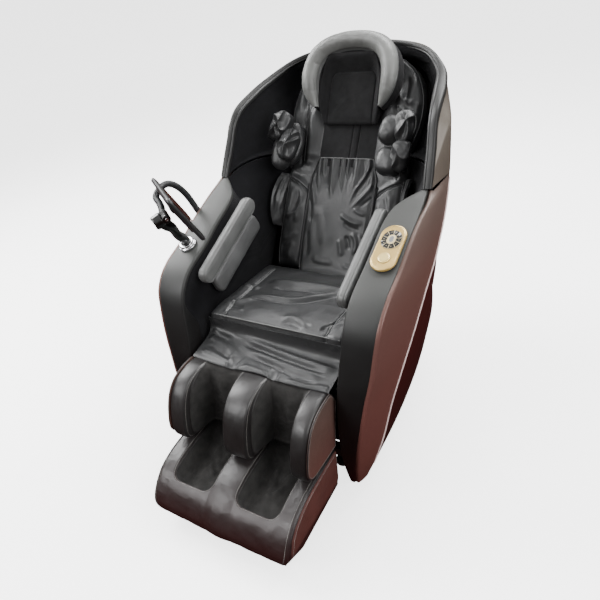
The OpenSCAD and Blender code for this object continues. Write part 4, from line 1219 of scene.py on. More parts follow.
BACK_FOLDS_L = [
    ([[-150, 620], [-165, 560], [-158, 500], [-150, 450]], 12, 6), ([[-200, 640], [-205, 580], [-210, 520]], 12, 5), ([[-178, 630], [-186, 580], [-176, 530]], 8, -4),
    ([[-140, 235], [-146, 190], [-160, 130]], 11, 5), ([[-185, 262], [-188, 205], [-196, 140]], 12, 5), ([[-165, 255], [-168, 215], [-178, 165]], 7, -4),
    ([[-136, 210], [-170, 170], [-210, 150]], 8, 4), ([[-214, 240], [-210, 180], [-216, 110]], 9, 4), ([[-140, 110], [-170, 80], [-205, 70]], 9, 4), ([[-150, 70], [-165, 30], [-160, -5]], 10, 4),
    ([[-190, 60], [-196, 25], [-192, -10]], 10, -4), ([[-138, 330], [-144, 400], [-146, 470], [-140, 560]], 15, 10, 0.1, 0.2), ([[-170, 330], [-172, 400], [-176, 470]], 7, -5, 0.1, 0.2),
    ([[-205, 330], [-208, 380], [-204, 440]], 12, 5),
]


def back_h(x, s):
    """how far the cushion's skin stands forward of its base plane"""
    a = np.abs(x)
    h = 3.0 * np.cos(np.clip(x / 240, -1, 1) * np.pi / 2)
    lo = smooth(302, 268, s + (a - 165) * -0.55)                                # below the slanted seam
    h = h + lo * 10 * np.maximum(0, 1 - ((a - 176) / 54) ** 2) * smooth(-30, 30, s)
    up = smooth(300, 330, s)
    h = h + up * 8 * np.maximum(0, 1 - ((a - 180) / 80) ** 2) * smooth(700, 600, s)
    col = np.exp(-((a - 128 + 0.02 * (s - 400)) / 24) ** 2) * smooth(352, 380, s) * smooth(690, 560, s)
    h = h + 11 * col
    h = h - 6 * smooth(104, 96, a) * smooth(330, 350, s)
    h = h + folds(x, s, BACK_SEAMS + mir(BACK_SEAMS)) + folds(x, s, BACK_FOLDS_R + BACK_FOLDS_L)
    P = np.stack([x, s, np.zeros_like(x)], -1)
    m_ = smooth(100, 125, a)
    h = h + m_ * (0.9 * fbm(P, [34, 70, 30], 3, 3) + 0.8 * ridged(P, [60, 110, 30], 9, 2))
    return h


def back_t(x, s):
    e = np.minimum(hw(s) - np.abs(x), np.minimum(s + 24, (702 - s) * 1.2))
    return -124.5 - back_h(x, s) * smooth(0, 26, e) + roll_off(e, 24)


def make_back_cushion():
    nu, nv = 211, 300
    u = np.sin(np.pi / 2 * np.linspace(-1, 1, nu)) * 0.35 + np.linspace(-1, 1, nu) * 0.65
    s = np.linspace(-22, 700, nv)
    U, S = np.meshgrid(u, s, indexing="ij")
    X = U * hw(S)
    F = bk(X, back_t(X, S), S)
    B = bk(X * 0.985, -91 + 0 * X, np.clip(S, -18, 696))
    return pad_between(F, B)


def surf_back(off=0.0):
    return lambda x, s: bk(x, back_t(x, s) - off, s)


# leather apron down the middle of the back
AE = np.array([[-48, 104], [-20, 116], [40, 121], [150, 124], [245, 124], [290, 124], [330, 113], [366, 103]], float)
aw = lambda s: pchip(s, AE)
APRON_FOLDS = [
    ([[-92, 364], [-90, 320], [-84, 270], [-80, 225]], 6.5, 8, 0, 0.5), ([[-77, 364], [-74, 325], [-70, 290]], 4.5, 6, 0, 0.5), ([[-84, 364], [-81, 320], [-76, 280]], 3.6, -5, 0, 0.5),
    ([[-62, 364], [-58, 310], [-50, 260]], 9, -7.5, 0, 0.5), ([[-40, 364], [-36, 310], [-30, 250], [-26, 215]], 10, 9, 0, 0.45), ([[-18, 364], [-14, 320], [-6, 275]], 4, -5, 0, 0.5),
    ([[-8, 364], [-6, 325], [2, 280], [6, 240]], 4.5, 6.5, 0, 0.5), ([[5, 364], [8, 330], [12, 295]], 3.5, -5, 0, 0.5), ([[15, 364], [18, 325], [22, 285]], 4.0, 6, 0, 0.5),
    ([[28, 364], [32, 325], [34, 290]], 5, -5, 0, 0.5), ([[46, 364], [50, 320], [46, 270], [36, 230]], 9, 6.5, 0, 0.45), ([[70, 364], [76, 325], [70, 280]], 6, -4.5, 0, 0.5),
    ([[92, 362], [92, 330], [76, 290], [54, 245], [38, 205]], 6.5, 7, 0, 0.4), ([[104, 345], [92, 305], [66, 258], [46, 215]], 5, -4.5, 0.1, 0.4),
    ([[118, 285], [96, 250], [66, 215], [44, 190]], 7, 6, 0.1, 0.4), ([[120, 240], [96, 218], [76, 200]], 5, -4, 0.1, 0.4),
    ([[-116, 290], [-100, 240], [-86, 190]], 9, 5), ([[-118, 230], [-104, 190], [-96, 140]], 7, -4),
    ([[14, 176], [44, 160], [76, 150], [106, 152]], 8, 5, 0.2, 0.25), ([[30, 150], [60, 134], [100, 128]], 7, -3.5, 0.2, 0.3), ([[60, 200], [84, 186], [112, 182]], 7, 4, 0.2, 0.25),
    ([[64, 120], [84, 100], [92, 70], [82, 40]], 9, 7), ([[46, 108], [60, 84], [64, 56]], 7, -5.5), ([[24, 96], [38, 60], [44, 30]], 9, 4.5), ([[92, 120], [108, 90], [108, 50]], 6, 4),
    ([[-60, 210], [-50, 150], [-20, 90], [10, 60]], 34, 6), ([[-90, 160], [-80, 90], [-60, 30]], 14, 3.5), ([[-104, 120], [-96, 60], [-90, 10]], 8, -3.5),
    ([[-96, -20], [-40, -8], [20, -10], [90, -22]], 12, -5), ([[-100, -38], [-30, -34], [40, -34], [98, -40]], 9, 7, 0.1, 0.1),
    ([[-70, 20], [-30, 8], [20, 12]], 10, 3.5), ([[50, 10], [80, 0], [104, 6]], 8, 4),
]


def apron_t(x, s):
    w = aw(s); e = w - np.abs(x)
    lift = 6.0 + 5.0 * np.cos(np.clip(x / w, -1, 1) * np.pi / 2) * smooth(360, 240, s) + 13 * smooth(10, -48, s)
    gather = smooth(190, 364, s)
    P = np.stack([x, s, np.zeros_like(x)], -1)
    h = folds(x, s, APRON_FOLDS) * 0.95 + gather * 1.2 * ridged(P, [13, 160, 30], 5, 2) + 0.5 * ridged(P, [60, 110, 30], 21, 2) + 0.3 * fbm(P, [30, 40, 20], 4, 2)
    base = -127.5 - 3.0 * np.cos(np.clip(x / 240, -1, 1) * np.pi / 2)
    return base - lift * smooth(-1, 16, e) - h * smooth(0, 14, e) * smooth(0, 5, 366.5 - s)


def make_apron():
    nu, nv = 170, 280
    u = np.linspace(-1, 1, nu); s = np.linspace(-48, 366, nv)
    U, S = np.meshgrid(u, s, indexing="ij")
    X = U * aw(S)
    F = bk(X, apron_t(X, S), S)
    B = bk(X * 0.985, np.maximum(apron_t(X, S) + 4.0, apron_t(X, S) * 0 - 132.0) * 1.0, np.clip(S, -46, 364.5))
    p = pad_between(F, B)
    return p


def back_trim():
    """piping and hems of the back"""
    p = Parts()
    f = lambda x, s: bk(x, apron_t(x, s) - 1.0, s)
    for sg in (-1, 1):
        s = np.linspace(-46, 363, 220)
        tube_parts(f(sg * (aw(s) - 0.5), s), 2.3, 8, p=p, mat=0)
        s = np.linspace(-30, 285, 160)
        # seam lines of the side bolsters
        g = surf_back(0.5)
        L = spline([[126, 240], [160, 268], [205, 290], [238, 302]], 60)
        tube_parts(g(sg * (L[:, 0]), L[:, 1]), 2.2, 8, p=p, mat=0)
        L2 = spline([[-22, 206], [60, 214], [250, 214], [300, 216]], 90)
        tube_parts(g(sg * L2[:, 1], L2[:, 0]), 1.9, 8, p=p, mat=0)
        # outer piping of the upper pad
        L = spline([[330, 222], [390, 215], [440, 228], [530, 239], [600, 226], [655, 196], [696, 146]], 150)
        tube_parts(g(sg * L[:, 1], L[:, 0]), 2.4, 8, p=p, mat=0)
        L = spline([[352, 158], [400, 160], [470, 166], [540, 160]], 100)
        tube_parts(g(sg * L[:, 1], L[:, 0]), 1.8, 8, p=p, mat=0)
    x = np.linspace(-101, 101, 120)
    tube_parts(f(x, np.full(120, 365.5)), 1.9, 8, p=p, mat=1)
    return p


def make_centre_cloth():
    """black cloth over the massage rollers, between the apron and the headrest"""
    nu, nv = 120, 70
    x = np.linspace(-112, 112, nu); s = np.linspace(338, 505, nv)
    X, S = np.meshgrid(x, s, indexing="ij")
    P = np.stack([X, S, 0 * X], -1)
    h = 5 + 3.5 * np.cos(X / 112 * np.pi / 2) - 3.2 * np.exp(-((X - 12) / 2.2) ** 2) - 3.2 * np.exp(-((X - 37) / 2.2) ** 2) + 2.0 * np.exp(-((X - 24) / 9) ** 2)
    h += 0.5 * fbm(P, [40, 60, 30], 31, 2) + 1.0 * smooth(-112, -100, X)
    T = -124.0 - h
    return pad_between(bk(X, T, S), bk(X, T + 5, S))


# ------------------------------------------------------------------ headrest and its pillow
def make_headrest():
    nu, nv = 150, 150
    v = np.linspace(0, 1, nv); u = np.linspace(-1, 1, nu)
    U, V = np.meshgrid(u, v, indexing="ij")
    S = 477 + V * 213
    w = np.interp(S, [477, 500, 530, 560, 600, 690], [96, 101, 112, 116, 112, 90])
    X = U * w
    a = np.abs(X)
    front = np.interp(S, [477, 500, 540, 600, 650, 690], [-152, -158, -163, -166, -170, -176])
    # centre panel: rounded top, set in by its seam
    cxm, top = 0.0, 640.0
    inner = np.maximum((a - 60) / 22, 0) ** 2 + np.maximum((S - 610) / 34, 0) ** 2
    edge = np.abs(np.sqrt(inner) - 1)
    flank = smooth(0.9, 2.2, np.sqrt(inner)) * np.interp(S, [477, 520, 560, 690], [4, 16, 26, 36])
    T = front - flank - 3.0 * np.cos(np.clip(X / 90, -1, 1) * np.pi / 2) * smooth(477, 520, S)
    T = T + 3.2 * np.exp(-(edge / 0.10) ** 2)
    P = np.stack([X, S, 0 * X], -1)
    T = T - 0.8 * fbm(P, [46, 40, 30], 15, 3) - folds(X, S, [([[-60, 500], [-30, 540], [0, 570]], 8, 1.6), ([[10, 560], [30, 520], [60, 500]], 9, 1.4)])
    e = np.minimum(S - 475, w - a + 3)
    T = T + roll_off(e, 11)
    F = bk(X, T, S)
    B = bk(X * 0.97, np.full_like(X, -133.0), np.clip(S, 480, 690))
    return pad_between(F, B)


# ring centre line: half width and distance along the back, crest depth, width scale
RING = np.array([
    [-113, 524, -194, 0.22], [-120, 540, -204, 0.50], [-128, 562, -219, 0.80], [-134, 592, -231, 0.98], [-134, 628, -238, 1.04], [-125, 664, -241, 1.06], [-104, 694, -241, 1.04],
    [-64, 715, -240, 1.0], [0, 723, -240, 1.0], [64, 715, -240, 1.0], [104, 694, -241, 1.04], [125, 664, -241, 1.06], [134, 628, -238, 1.04], [134, 592, -231, 0.98], [128, 562, -219, 0.80], [120, 540, -204, 0.50], [113, 524, -194, 0.22]], float)


def make_pillow():
    n = 240
    R = spline(RING, n)
    C = R[:, :2]
    T = unit(np.gradient(C, axis=0)); out = np.stack([-T[:, 1], T[:, 0]], 1)      # outward, away from the face
    ctr = np.array([0, 600.0])
    out *= np.sign(np.sum(out * (C - ctr), 1))[:, None]
    sc = R[:, 3]; crest = R[:, 2]
    base = np.full(n, -150.0)
    d = base - crest                                            # depth of the ring, toward the sitter
    # section: outward offset (x scale), height fraction of the depth
    prof = [
        (33, 0.00), (36.5, 0.12), (37.5, 0.28), (37, 0.44), (35.6, 0.58), (35.0, 0.64),        # dark outer wall
        (35.6, 0.665), (36.4, 0.70), (35.6, 0.735),                                             # piping
        (34.0, 0.76), (31, 0.84), (26, 0.915), (19, 0.97), (12, 0.998), (5, 1.0), (-2, 0.975), (-8, 0.93), (-13, 0.865), (-16.5, 0.79), (-18.3, 0.74),
        (-19.0, 0.70), (-18.8, 0.67),                                                             # seam with the inner cloth
        (-21.5, 0.60), (-26.5, 0.45), (-31, 0.30), (-34.5, 0.15), (-36, 0.0)]
    zone = [0] * 6 + [1] * 3 + [2] * 11 + [3] * 2 + [4] * 5
    pr_ = np.array(prof)
    # refine
    k = np.linspace(0, len(prof) - 1, 90)
    po = np.interp(k, np.arange(len(prof)), pr_[:, 0]); ph = np.interp(k, np.arange(len(prof)), pr_[:, 1])
    zf = np.array(zone)[np.clip(np.floor(k[:-1] + 1e-9).astype(int) + 0, 0, len(zone) - 1)]
    sm = lambda q: np.convolve(np.r_[q[:1], q, q[-1:]], [0.25, 0.5, 0.25], "valid")
    po, ph = sm(po), sm(ph)
    off = po[None, :] * sc[:, None]
    X = C[:, :1] + out[:, :1] * off; S = C[:, 1:2] + out[:, 1:2] * off
    H = np.where(np.ones_like(X) > 0, base[:, None] - d[:, None] * ph[None, :], 0)
    P = np.stack([X, S, H], -1)
    lea = smooth(0.70, 0.8, ph)[None, :]
    nz = 1.1 * fbm(P, [40, 40, 40], 44, 3)
    a = np.linspace(0, 1, n)
    wr = 0
    for c0, wd, am in ((0.10, 0.006, 1.6), (0.16, 0.008, 1.6), (0.235, 0.007, 1.3), (0.33, 0.009, 1.2), (0.41, 0.008, 1.5), (0.5, 0.01, 0.9), (0.58, 0.008, 1.4), (0.67, 0.009, 1.1), (0.76, 0.007, 1.4), (0.84, 0.008, 1.6), (0.90, 0.006, 1.6)):
        wr = wr - am * np.exp(-(((a[:, None] + 0.012 * np.sin(ph[None, :] * 5 + c0 * 30)) - c0) / wd) ** 2) * smooth(0.70, 0.80, ph)[None, :] * smooth(1.02, 0.85, ph)[None, :]
    H = H - (nz * (0.4 + 0.6 * lea) + wr)
    G = bk(X, H, S)
    p = Parts(); m_, n_ = G.shape[:2]
    F = gridf(m_, n_)
    base_n = p.n
    p.v.append(G.reshape(-1, 3)); p.n += m_ * n_
    for q, f in enumerate(F):
        j = q % (n_ - 1)
        z = zf[min(j, len(zf) - 1)]
        p.f.append([int(c) + base_n for c in f]); p.m.append({0: 1, 1: 2, 2: 0, 3: 2, 4: 1}[int(z)])
    # flat underside and ends
    for i in range(m_ - 1):
        p.f.append([i * n_, (i + 1) * n_, (i + 1) * n_ + n_ - 1, i * n_ + n_ - 1]); p.m.append(1)
    p.f.append([j for j in range(n_)]); p.m.append(1)
    p.f.append([(m_ - 1) * n_ + j for j in range(n_ - 1, -1, -1)]); p.m.append(1)
    return p


# ------------------------------------------------------------------ shoulder airbags
def fib(n):
    i = np.arange(n) + 0.5
    ph = np.arccos(1 - 2 * i / n); th = np.pi * (1 + 5 ** 0.5) * i
    return np.stack([np.cos(th) * np.sin(ph), np.sin(th) * np.sin(ph), np.cos(ph)], 1)


def lobe(center, radii, rot, seed, n=90, facets=15, soft=7.0, creases=4, depth=0.28):
    """a slack leather lobe: a soft many-sided bag with sharp creases running in to pulled points.
    In the back's frame (x, t, s)."""
    th = np.linspace(0, np.pi, n // 2 + 1); ph = np.linspace(0, 2 * np.pi, n, endpoint=False)
    TH, PH = np.meshgrid(th, ph, indexing="ij")
    D = np.stack([np.cos(PH) * np.sin(TH), np.sin(PH) * np.sin(TH), np.cos(TH)], -1)
    rng = np.random.RandomState(seed)
    nrm = fib(facets) + rng.normal(0, 0.22, (facets, 3)); nrm = unit(nrm)
    dd = 0.80 + 0.20 * rng.rand(facets)
    dots = np.maximum(np.einsum("ijk,fk->ijf", D, nrm), 1e-3)
    r = dd / dots
    r = np.minimum(r, 3.0)
    rr = (np.sum(r ** (-soft), -1)) ** (-1 / soft) * 1.12
    rr = np.minimum(rr, 1.15)
    # creases: great-circle valleys that fade along their length
    for c in range(creases):
        a = unit(rng.normal(0, 1, 3)); b = unit(rng.normal(0, 1, 3)); b = unit(b - a * (a @ b))
        dist = np.abs(D @ a)
        env = smooth(-0.15, 0.75, D @ b)
        rr = rr - depth * env * np.exp(-(dist / 0.085) ** 1.3)
        rr = rr + 0.10 * env * np.exp(-((dist - 0.20) / 0.10) ** 2)
    P0 = D * 60
    rr = rr + 0.045 * ridged(P0 + seed * 7, [26, 26, 26], seed, 3) + 0.02 * fbm(P0, [10, 10, 10], seed + 5, 2)
    # dihedral of rotation
    ax, ay, az = rot
    Rx = np.array([[1, 0, 0], [0, math.cos(ax), -math.sin(ax)], [0, math.sin(ax), math.cos(ax)]])
    Ry = np.array([[math.cos(ay), 0, math.sin(ay)], [0, 1, 0], [-math.sin(ay), 0, math.cos(ay)]])
    Rz = np.array([[math.cos(az), -math.sin(az), 0], [math.sin(az), math.cos(az), 0], [0, 0, 1]])
    L = (D * rr[..., None]) * np.asarray(radii, float)
    L = L @ (Rz @ Ry @ Rx).T + np.asarray(center, float)
    return L        # x, t, s


def add_lobe(p, L, mat=0, piping=None, pmat=1):
    # the bags lie against the hood's inner wall, so they flatten softly there
    lim = np.interp(L[..., 1], [-250, -244, -192, -145], [265, 267, 249, 226])
    ax = np.abs(L[..., 0]); e = ax - (lim - 7)
    ax = np.where(e > 0, lim - 7 + 7 * (1 - np.exp(-np.maximum(e, 0) / 7)), ax)
    G = bk(np.sign(L[..., 0]) * ax, L[..., 1], L[..., 2])
    m_, n_ = G.shape[:2]
    base = p.n
    core = G[1:-1]
    p.v.append(core.reshape(-1, 3)); p.n += core.shape[0] * n_
    F = gridf(core.shape[0], n_, cv=True)
    p.f += [[int(c) + base for c in f] for f in F]; p.m += [mat] * len(F)
    top, bot = p.n, p.n + 1
    p.v.append(np.stack([G[0].mean(0), G[-1].mean(0)])); p.n += 2
    k = (core.shape[0] - 1) * n_
    for j in range(n_):
        p.f.append([top, base + j, base + (j + 1) % n_]); p.m.append(mat)
        p.f.append([bot, base + k + (j + 1) % n_, base + k + j]); p.m.append(mat)


def puff(center, radii, rot=(0, 0, 0), pole=(0, -1, 0), pleats=0, amp=0.0, pinch=0.0, seed=1, n=120, box=2.3, twist=0.0, dents=()):
    """a slack leather bag: a full rounded body, pleats running in to a pinched point at the pole, and broad dents"""
    th = np.linspace(0, np.pi, n // 2 + 1); ph = np.linspace(0, 2 * np.pi, n, endpoint=False)
    TH, PH = np.meshgrid(th, ph, indexing="ij")
    w = unit(np.asarray(pole, float)); u = unit(np.cross(w, [0.3, 0.2, 1.0])); v = np.cross(w, u)
    L3 = np.stack([np.cos(PH) * np.sin(TH), np.sin(PH) * np.sin(TH), np.cos(TH)], -1)
    D = L3[..., :1] * u + L3[..., 1:2] * v + L3[..., 2:3] * w
    r = (np.sum(np.abs(D) ** box, -1)) ** (-1 / box)
    rng = np.random.RandomState(seed)
    if pleats:
        offs = rng.uniform(-0.35, 0.35, pleats)
        am = rng.uniform(0.55, 1.0, pleats)
        ln = rng.uniform(1.1, 2.0, pleats)
        for k in range(pleats):
            c = 2 * np.pi * k / pleats + offs[k] + twist * TH
            d = np.abs((PH - c + np.pi) % (2 * np.pi) - np.pi) * np.sin(TH)
            env = smooth(0.02, 0.30, TH) * smooth(ln[k] + 0.7, ln[k] - 0.2, TH)
            r = r + amp * am[k] * env * (np.exp(-(d / 0.10) ** 0.9 * 0.9) - 0.75 * np.exp(-((d - 0.30) / 0.16) ** 2))
    r = r - pinch * np.exp(-(TH / 0.42) ** 2)
    for dx, dr, dw in dents:
        c = unit(np.asarray(dx, float))
        r = r - dr * np.exp(-(np.arccos(np.clip(D @ c, -1, 1)) / dw) ** 2)
    P0 = D * 50 + seed * 13
    r = r + 0.035 * fbm(P0, [34, 34, 34], seed, 2) + 0.012 * ridged(P0, [22, 22, 22], seed + 2, 2)
    ax, ay, az = rot
    Rx = np.array([[1, 0, 0], [0, math.cos(ax), -math.sin(ax)], [0, math.sin(ax), math.cos(ax)]])
    Ry = np.array([[math.cos(ay), 0, math.sin(ay)], [0, 1, 0], [-math.sin(ay), 0, math.cos(ay)]])
    Rz = np.array([[math.cos(az), -math.sin(az), 0], [math.sin(az), math.cos(az), 0], [0, 0, 1]])
    return (D * r[..., None]) * np.asarray(radii, float) @ (Rz @ Ry @ Rx).T + np.asarray(center, float)


def slack_bag(center, half, seed, ridges, rot=(0, 0, 0), fill=1.0, n=150):
    """a half-empty leather bag: a broad flat box with soft corners; ridges are creases raised between hollow facets.
    ridges: polylines in the bag's own (-1..1, -1..1) face plane with (width, height)"""
    th = np.linspace(0, np.pi, n // 2 + 1); ph = np.linspace(0, 2 * np.pi, n, endpoint=False)
    TH, PH = np.meshgrid(th, ph, indexing="ij")
    # pole to the front
    D = np.stack([np.sin(TH) * np.cos(PH), -np.cos(TH), np.sin(TH) * np.sin(PH)], -1)
    e = 2.9
    r = (np.sum(np.abs(D) ** e, -1)) ** (-1 / e)
    Q = D * r[..., None]
    u, w = Q[..., 0], Q[..., 2]
    front = smooth(0.25, -0.25, Q[..., 1])
    # hollow facets between the creases
    dmin = np.full(u.shape, 9.0); rise = np.zeros_like(u)
    for pts, wd, hg in ridges:
        pts = spline(np.asarray(pts, float), 26)
        d = np.full(u.shape, 9.0)
        for a, b in zip(pts[:-1], pts[1:]):
            ab = b - a; L2 = max(ab @ ab, 1e-9)
            t = np.clip(((u - a[0]) * ab[0] + (w - a[1]) * ab[1]) / L2, 0, 1)
            d = np.minimum(d, np.hypot(u - a[0] - t * ab[0], w - a[1] - t * ab[1]))
        dmin = np.minimum(dmin, d)
        rise = np.maximum(rise, hg * np.exp(-(np.abs(d) / wd) ** 1.3))
    hollow = 0.20 * smooth(0.05, 0.42, dmin) * smooth(1.05, 0.55, np.maximum(np.abs(u), np.abs(w)))
    P0 = Q * 50 + seed * 13
    off = front * (rise - hollow * (1 - fill)) + 0.05 * fbm(P0, [42, 42, 42], seed, 2) + 0.010 * ridged(P0, [22, 22, 22], seed + 2, 2)
    Q = Q.copy(); Q[..., 1] -= off * 1.0
    rr = 1 + 0.05 * fbm(P0, [50, 50, 50], seed + 5, 2)
    Q[..., 0] *= rr; Q[..., 2] *= rr
    ax, ay, az = rot
    Rx = np.array([[1, 0, 0], [0, math.cos(ax), -math.sin(ax)], [0, math.sin(ax), math.cos(ax)]])
    Ry = np.array([[math.cos(ay), 0, math.sin(ay)], [0, 1, 0], [-math.sin(ay), 0, math.cos(ay)]])
    Rz = np.array([[math.cos(az), -math.sin(az), 0], [math.sin(az), math.cos(az), 0], [0, 0, 1]])
    return (Q * np.asarray(half, float)) @ (Rz @ Ry @ Rx).T + np.asarray(center, float)


def make_airbags():
    p = Parts()
    # sitter's left: four full lobes, drawn together at the middle
    add_lobe(p, puff([182, -198, 440], [42, 37, 46], (0.1, 0.25, 0.1), seed=3, box=2.8, dents=[((0.9, -0.7, -0.5), 0.24, 0.5), ((0.3, -0.8, -0.9), 0.14, 0.5)]))
    add_lobe(p, slack_bag([225, -208, 450], [33, 34, 50], 8, [([[-0.9, -0.5], [-0.3, -0.1], [0.2, 0.3], [0.9, 0.5]], 0.16, 0.20), ([[-0.2, 1.0], [0.0, 0.4], [0.2, 0.3]], 0.12, 0.16), ([[0.2, 0.3], [0.3, -0.4], [0.0, -1.0]], 0.14, 0.16)], (0.1, -0.15, 0.2), 0.2))
    add_lobe(p, puff([184, -194, 346], [42, 37, 44], (-0.1, 0.15, -0.1), seed=12, box=2.9, dents=[((0.9, -0.6, 0.5), 0.26, 0.5), ((0.1, -0.6, 1.0), 0.12, 0.4)]))
    add_lobe(p, slack_bag([223, -204, 362], [32, 34, 48], 17, [([[-0.9, 0.6], [-0.2, 0.2], [0.5, -0.1], [1.0, 0.0]], 0.16, 0.20), ([[-0.4, -1.0], [-0.1, -0.3], [-0.2, 0.2]], 0.14, 0.16)], (0.2, 0.2, 0.1), 0.3))
    add_lobe(p, puff([200, -172, 402], [48, 28, 74], seed=21, box=2.6))
    # sitter's right: slack, with sharp creases between hollow facets
    add_lobe(p, slack_bag([-228, -210, 450], [35, 35, 52], 33, [([[-0.5, -0.9], [-0.1, -0.2], [0.1, 0.2], [0.0, 1.0]], 0.10, 0.34), ([[0.1, 0.2], [0.6, -0.2], [1.0, -0.1]], 0.10, 0.30), ([[-1.0, 0.5], [-0.4, 0.5], [0.1, 0.2]], 0.10, 0.30), ([[-0.1, -0.2], [0.5, -0.7], [0.7, -1.0]], 0.10, 0.26)], (0.1, 0.35, 0.15), 0.0))
    add_lobe(p, slack_bag([-188, -208, 388], [35, 34, 54], 41, [([[-0.1, 1.0], [0.1, 0.4], [-0.1, -0.2], [0.1, -1.0]], 0.10, 0.36), ([[-1.0, -0.3], [-0.5, -0.1], [-0.1, -0.2]], 0.10, 0.30), ([[-0.1, -0.2], [0.5, 0.1], [1.0, 0.5]], 0.10, 0.30), ([[0.1, 0.4], [0.6, 0.8], [0.9, 1.0]], 0.10, 0.24)], (-0.1, 0.2, 0.35), 0.0))
    add_lobe(p, puff([-222, -188, 362], [34, 32, 54], (0.1, 0.0, 0.15), seed=47, box=2.6, dents=[((0.3, -0.9, 0.3), 0.16, 0.5)]))
    add_lobe(p, puff([-204, -168, 402], [48, 26, 74], seed=52, box=2.5))
    return p


def make_airbag_trim():
    p = Parts()
    def loop(c, r, tilt, a0, a1, n=60, rad=1.7):
        a = np.radians(np.linspace(a0, a1, n))
        u = np.array([1, 0, 0]); v = np.array([0, math.sin(tilt), math.cos(tilt)])
        L = np.asarray(c, float) + r[0] * np.cos(a)[:, None] * u + r[1] * np.sin(a)[:, None] * v
        L[:, 0] = np.clip(L[:, 0], -266, 266)
        tube_parts(bk(L[:, 0], L[:, 1], L[:, 2]), rad, 7, p=p)
    loop([184, -212, 437], (44, 46), 0.15, 60, 200)
    loop([186, -208, 350], (44, 42), 0.15, 90, 290)
    loop([227, -218, 450], (32, 48), 0.1, -40, 110)
    return p


def make_wings():
    """leather gussets between the back cushion and the arms"""
    out = Parts()
    for sg in (-1, 1):
        u = np.linspace(0, 1, 44); v = np.linspace(0, 1, 90)
        U, V = np.meshgrid(u, v, indexing="ij")
        S = 118 + V * 190
        x = 212 + 32 * U ** 0.8
        t = -108 - 74 * U ** 1.25 * np.sin(np.pi * np.clip(0.10 + 0.84 * V, 0, 1)) ** 0.6
        P = np.stack([x * 1.0, S, t], -1)
        bulge = 6 * np.sin(np.pi * U) + 2.0 * ridged(P * [1, 1, 1], [30, 90, 40], 61 + sg, 2) + folds(U * 80, S, [([[20, 290], [34, 240], [40, 170]], 8, 5), ([[50, 300], [60, 240], [62, 190]], 6, -4), ([[66, 280], [72, 220], [70, 160]], 6, 4)])
        x = x - bulge * 0.75; t = t - bulge * 0.35
        F = bk(sg * x, t, S); B = bk(sg * (x + 5), t + 9, S)
        q = pad_between(F, B)
        out.v += q.v; out.f += [[a + out.n for a in f] for f in q.f]; out.m += q.m; out.n += q.n
    return out


c = from_parts("back_pad", make_back_cushion(), "back", [L_BLACK], replaces=["back_cushion"], slot="leather_black", sharp=70)
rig.padded(c, fill=0.75)
c = from_parts("back_apron", make_apron(), "back", [L_BLACK], slot="leather_black", sharp=75)
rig.padded(c, fill=0.3)
c = from_parts("back_centre_cloth", make_centre_cloth(), "back", [F_BLACK], slot="fabric_black", sharp=60)
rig.padded(c, fill=0.5)
from_parts("back_piping", back_trim(), "back", [L_BLACK, L_PAD], slot="leather_black", sharp=60)
c = from_parts("back_gussets", make_wings(), "back", [L_BLACK], slot="leather_black", sharp=70)
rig.padded(c, fill=0.3)
c = from_parts("headrest", make_headrest(), "back", [F_BLACK], replaces=["headrest_pad"], slot="fabric_black", sharp=60)
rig.padded(c, fill=0.8)
c = from_parts("pillow_ring", make_pillow(), "back", [L_PILLOW, F_BLACK, L_PAD], replaces=["head_pillow"], slot="pillow_leather", sharp=50)
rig.padded(c, fill=0.95)
c = from_parts("shoulder_bags", make_airbags(), "back", [L_BLACK], replaces=["shoulder_airbags"], slot="leather_black", sharp=80)
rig.padded(c, fill=0.4)
from_parts("shoulder_bag_piping", make_airbag_trim(), "back", [L_PAD], slot="leather_black", sharp=60)

# ------------------------------------------------------------------ pads swept along x or along an axis
def closed_profile(pts, n, r=None):
    """dense closed outline through rounded corners"""
    P = np.asarray(pts, float)
    if r is not None:
        Q = []
        k = len(P)
        for i in range(k):
            a, b, c = P[i - 1], P[i], P[(i + 1) % k]
            u, v = unit(a - b), unit(c - b)
            rr = min(r if np.ndim(r) == 0 else r[i], 0.48 * np.linalg.norm(a - b), 0.48 * np.linalg.norm(c - b))
            if rr < 0.5:
                Q.append(b); continue
            for t in np.linspace(0, 1, 7):
                Q.append((b + u * rr) * (1 - t) ** 2 + b * 2 * t * (1 - t) + (b + v * rr) * t * t)
        P = np.array(Q)
    Pc = np.vstack([P, P[:1]])
    L = np.r_[0, np.cumsum(np.linalg.norm(np.diff(Pc, axis=0), axis=1))]
    w = np.linspace(0, L[-1], n + 1)[:-1]
    return np.column_stack([np.interp(w, L, Pc[:, 0]), np.interp(w, L, Pc[:, 1])])


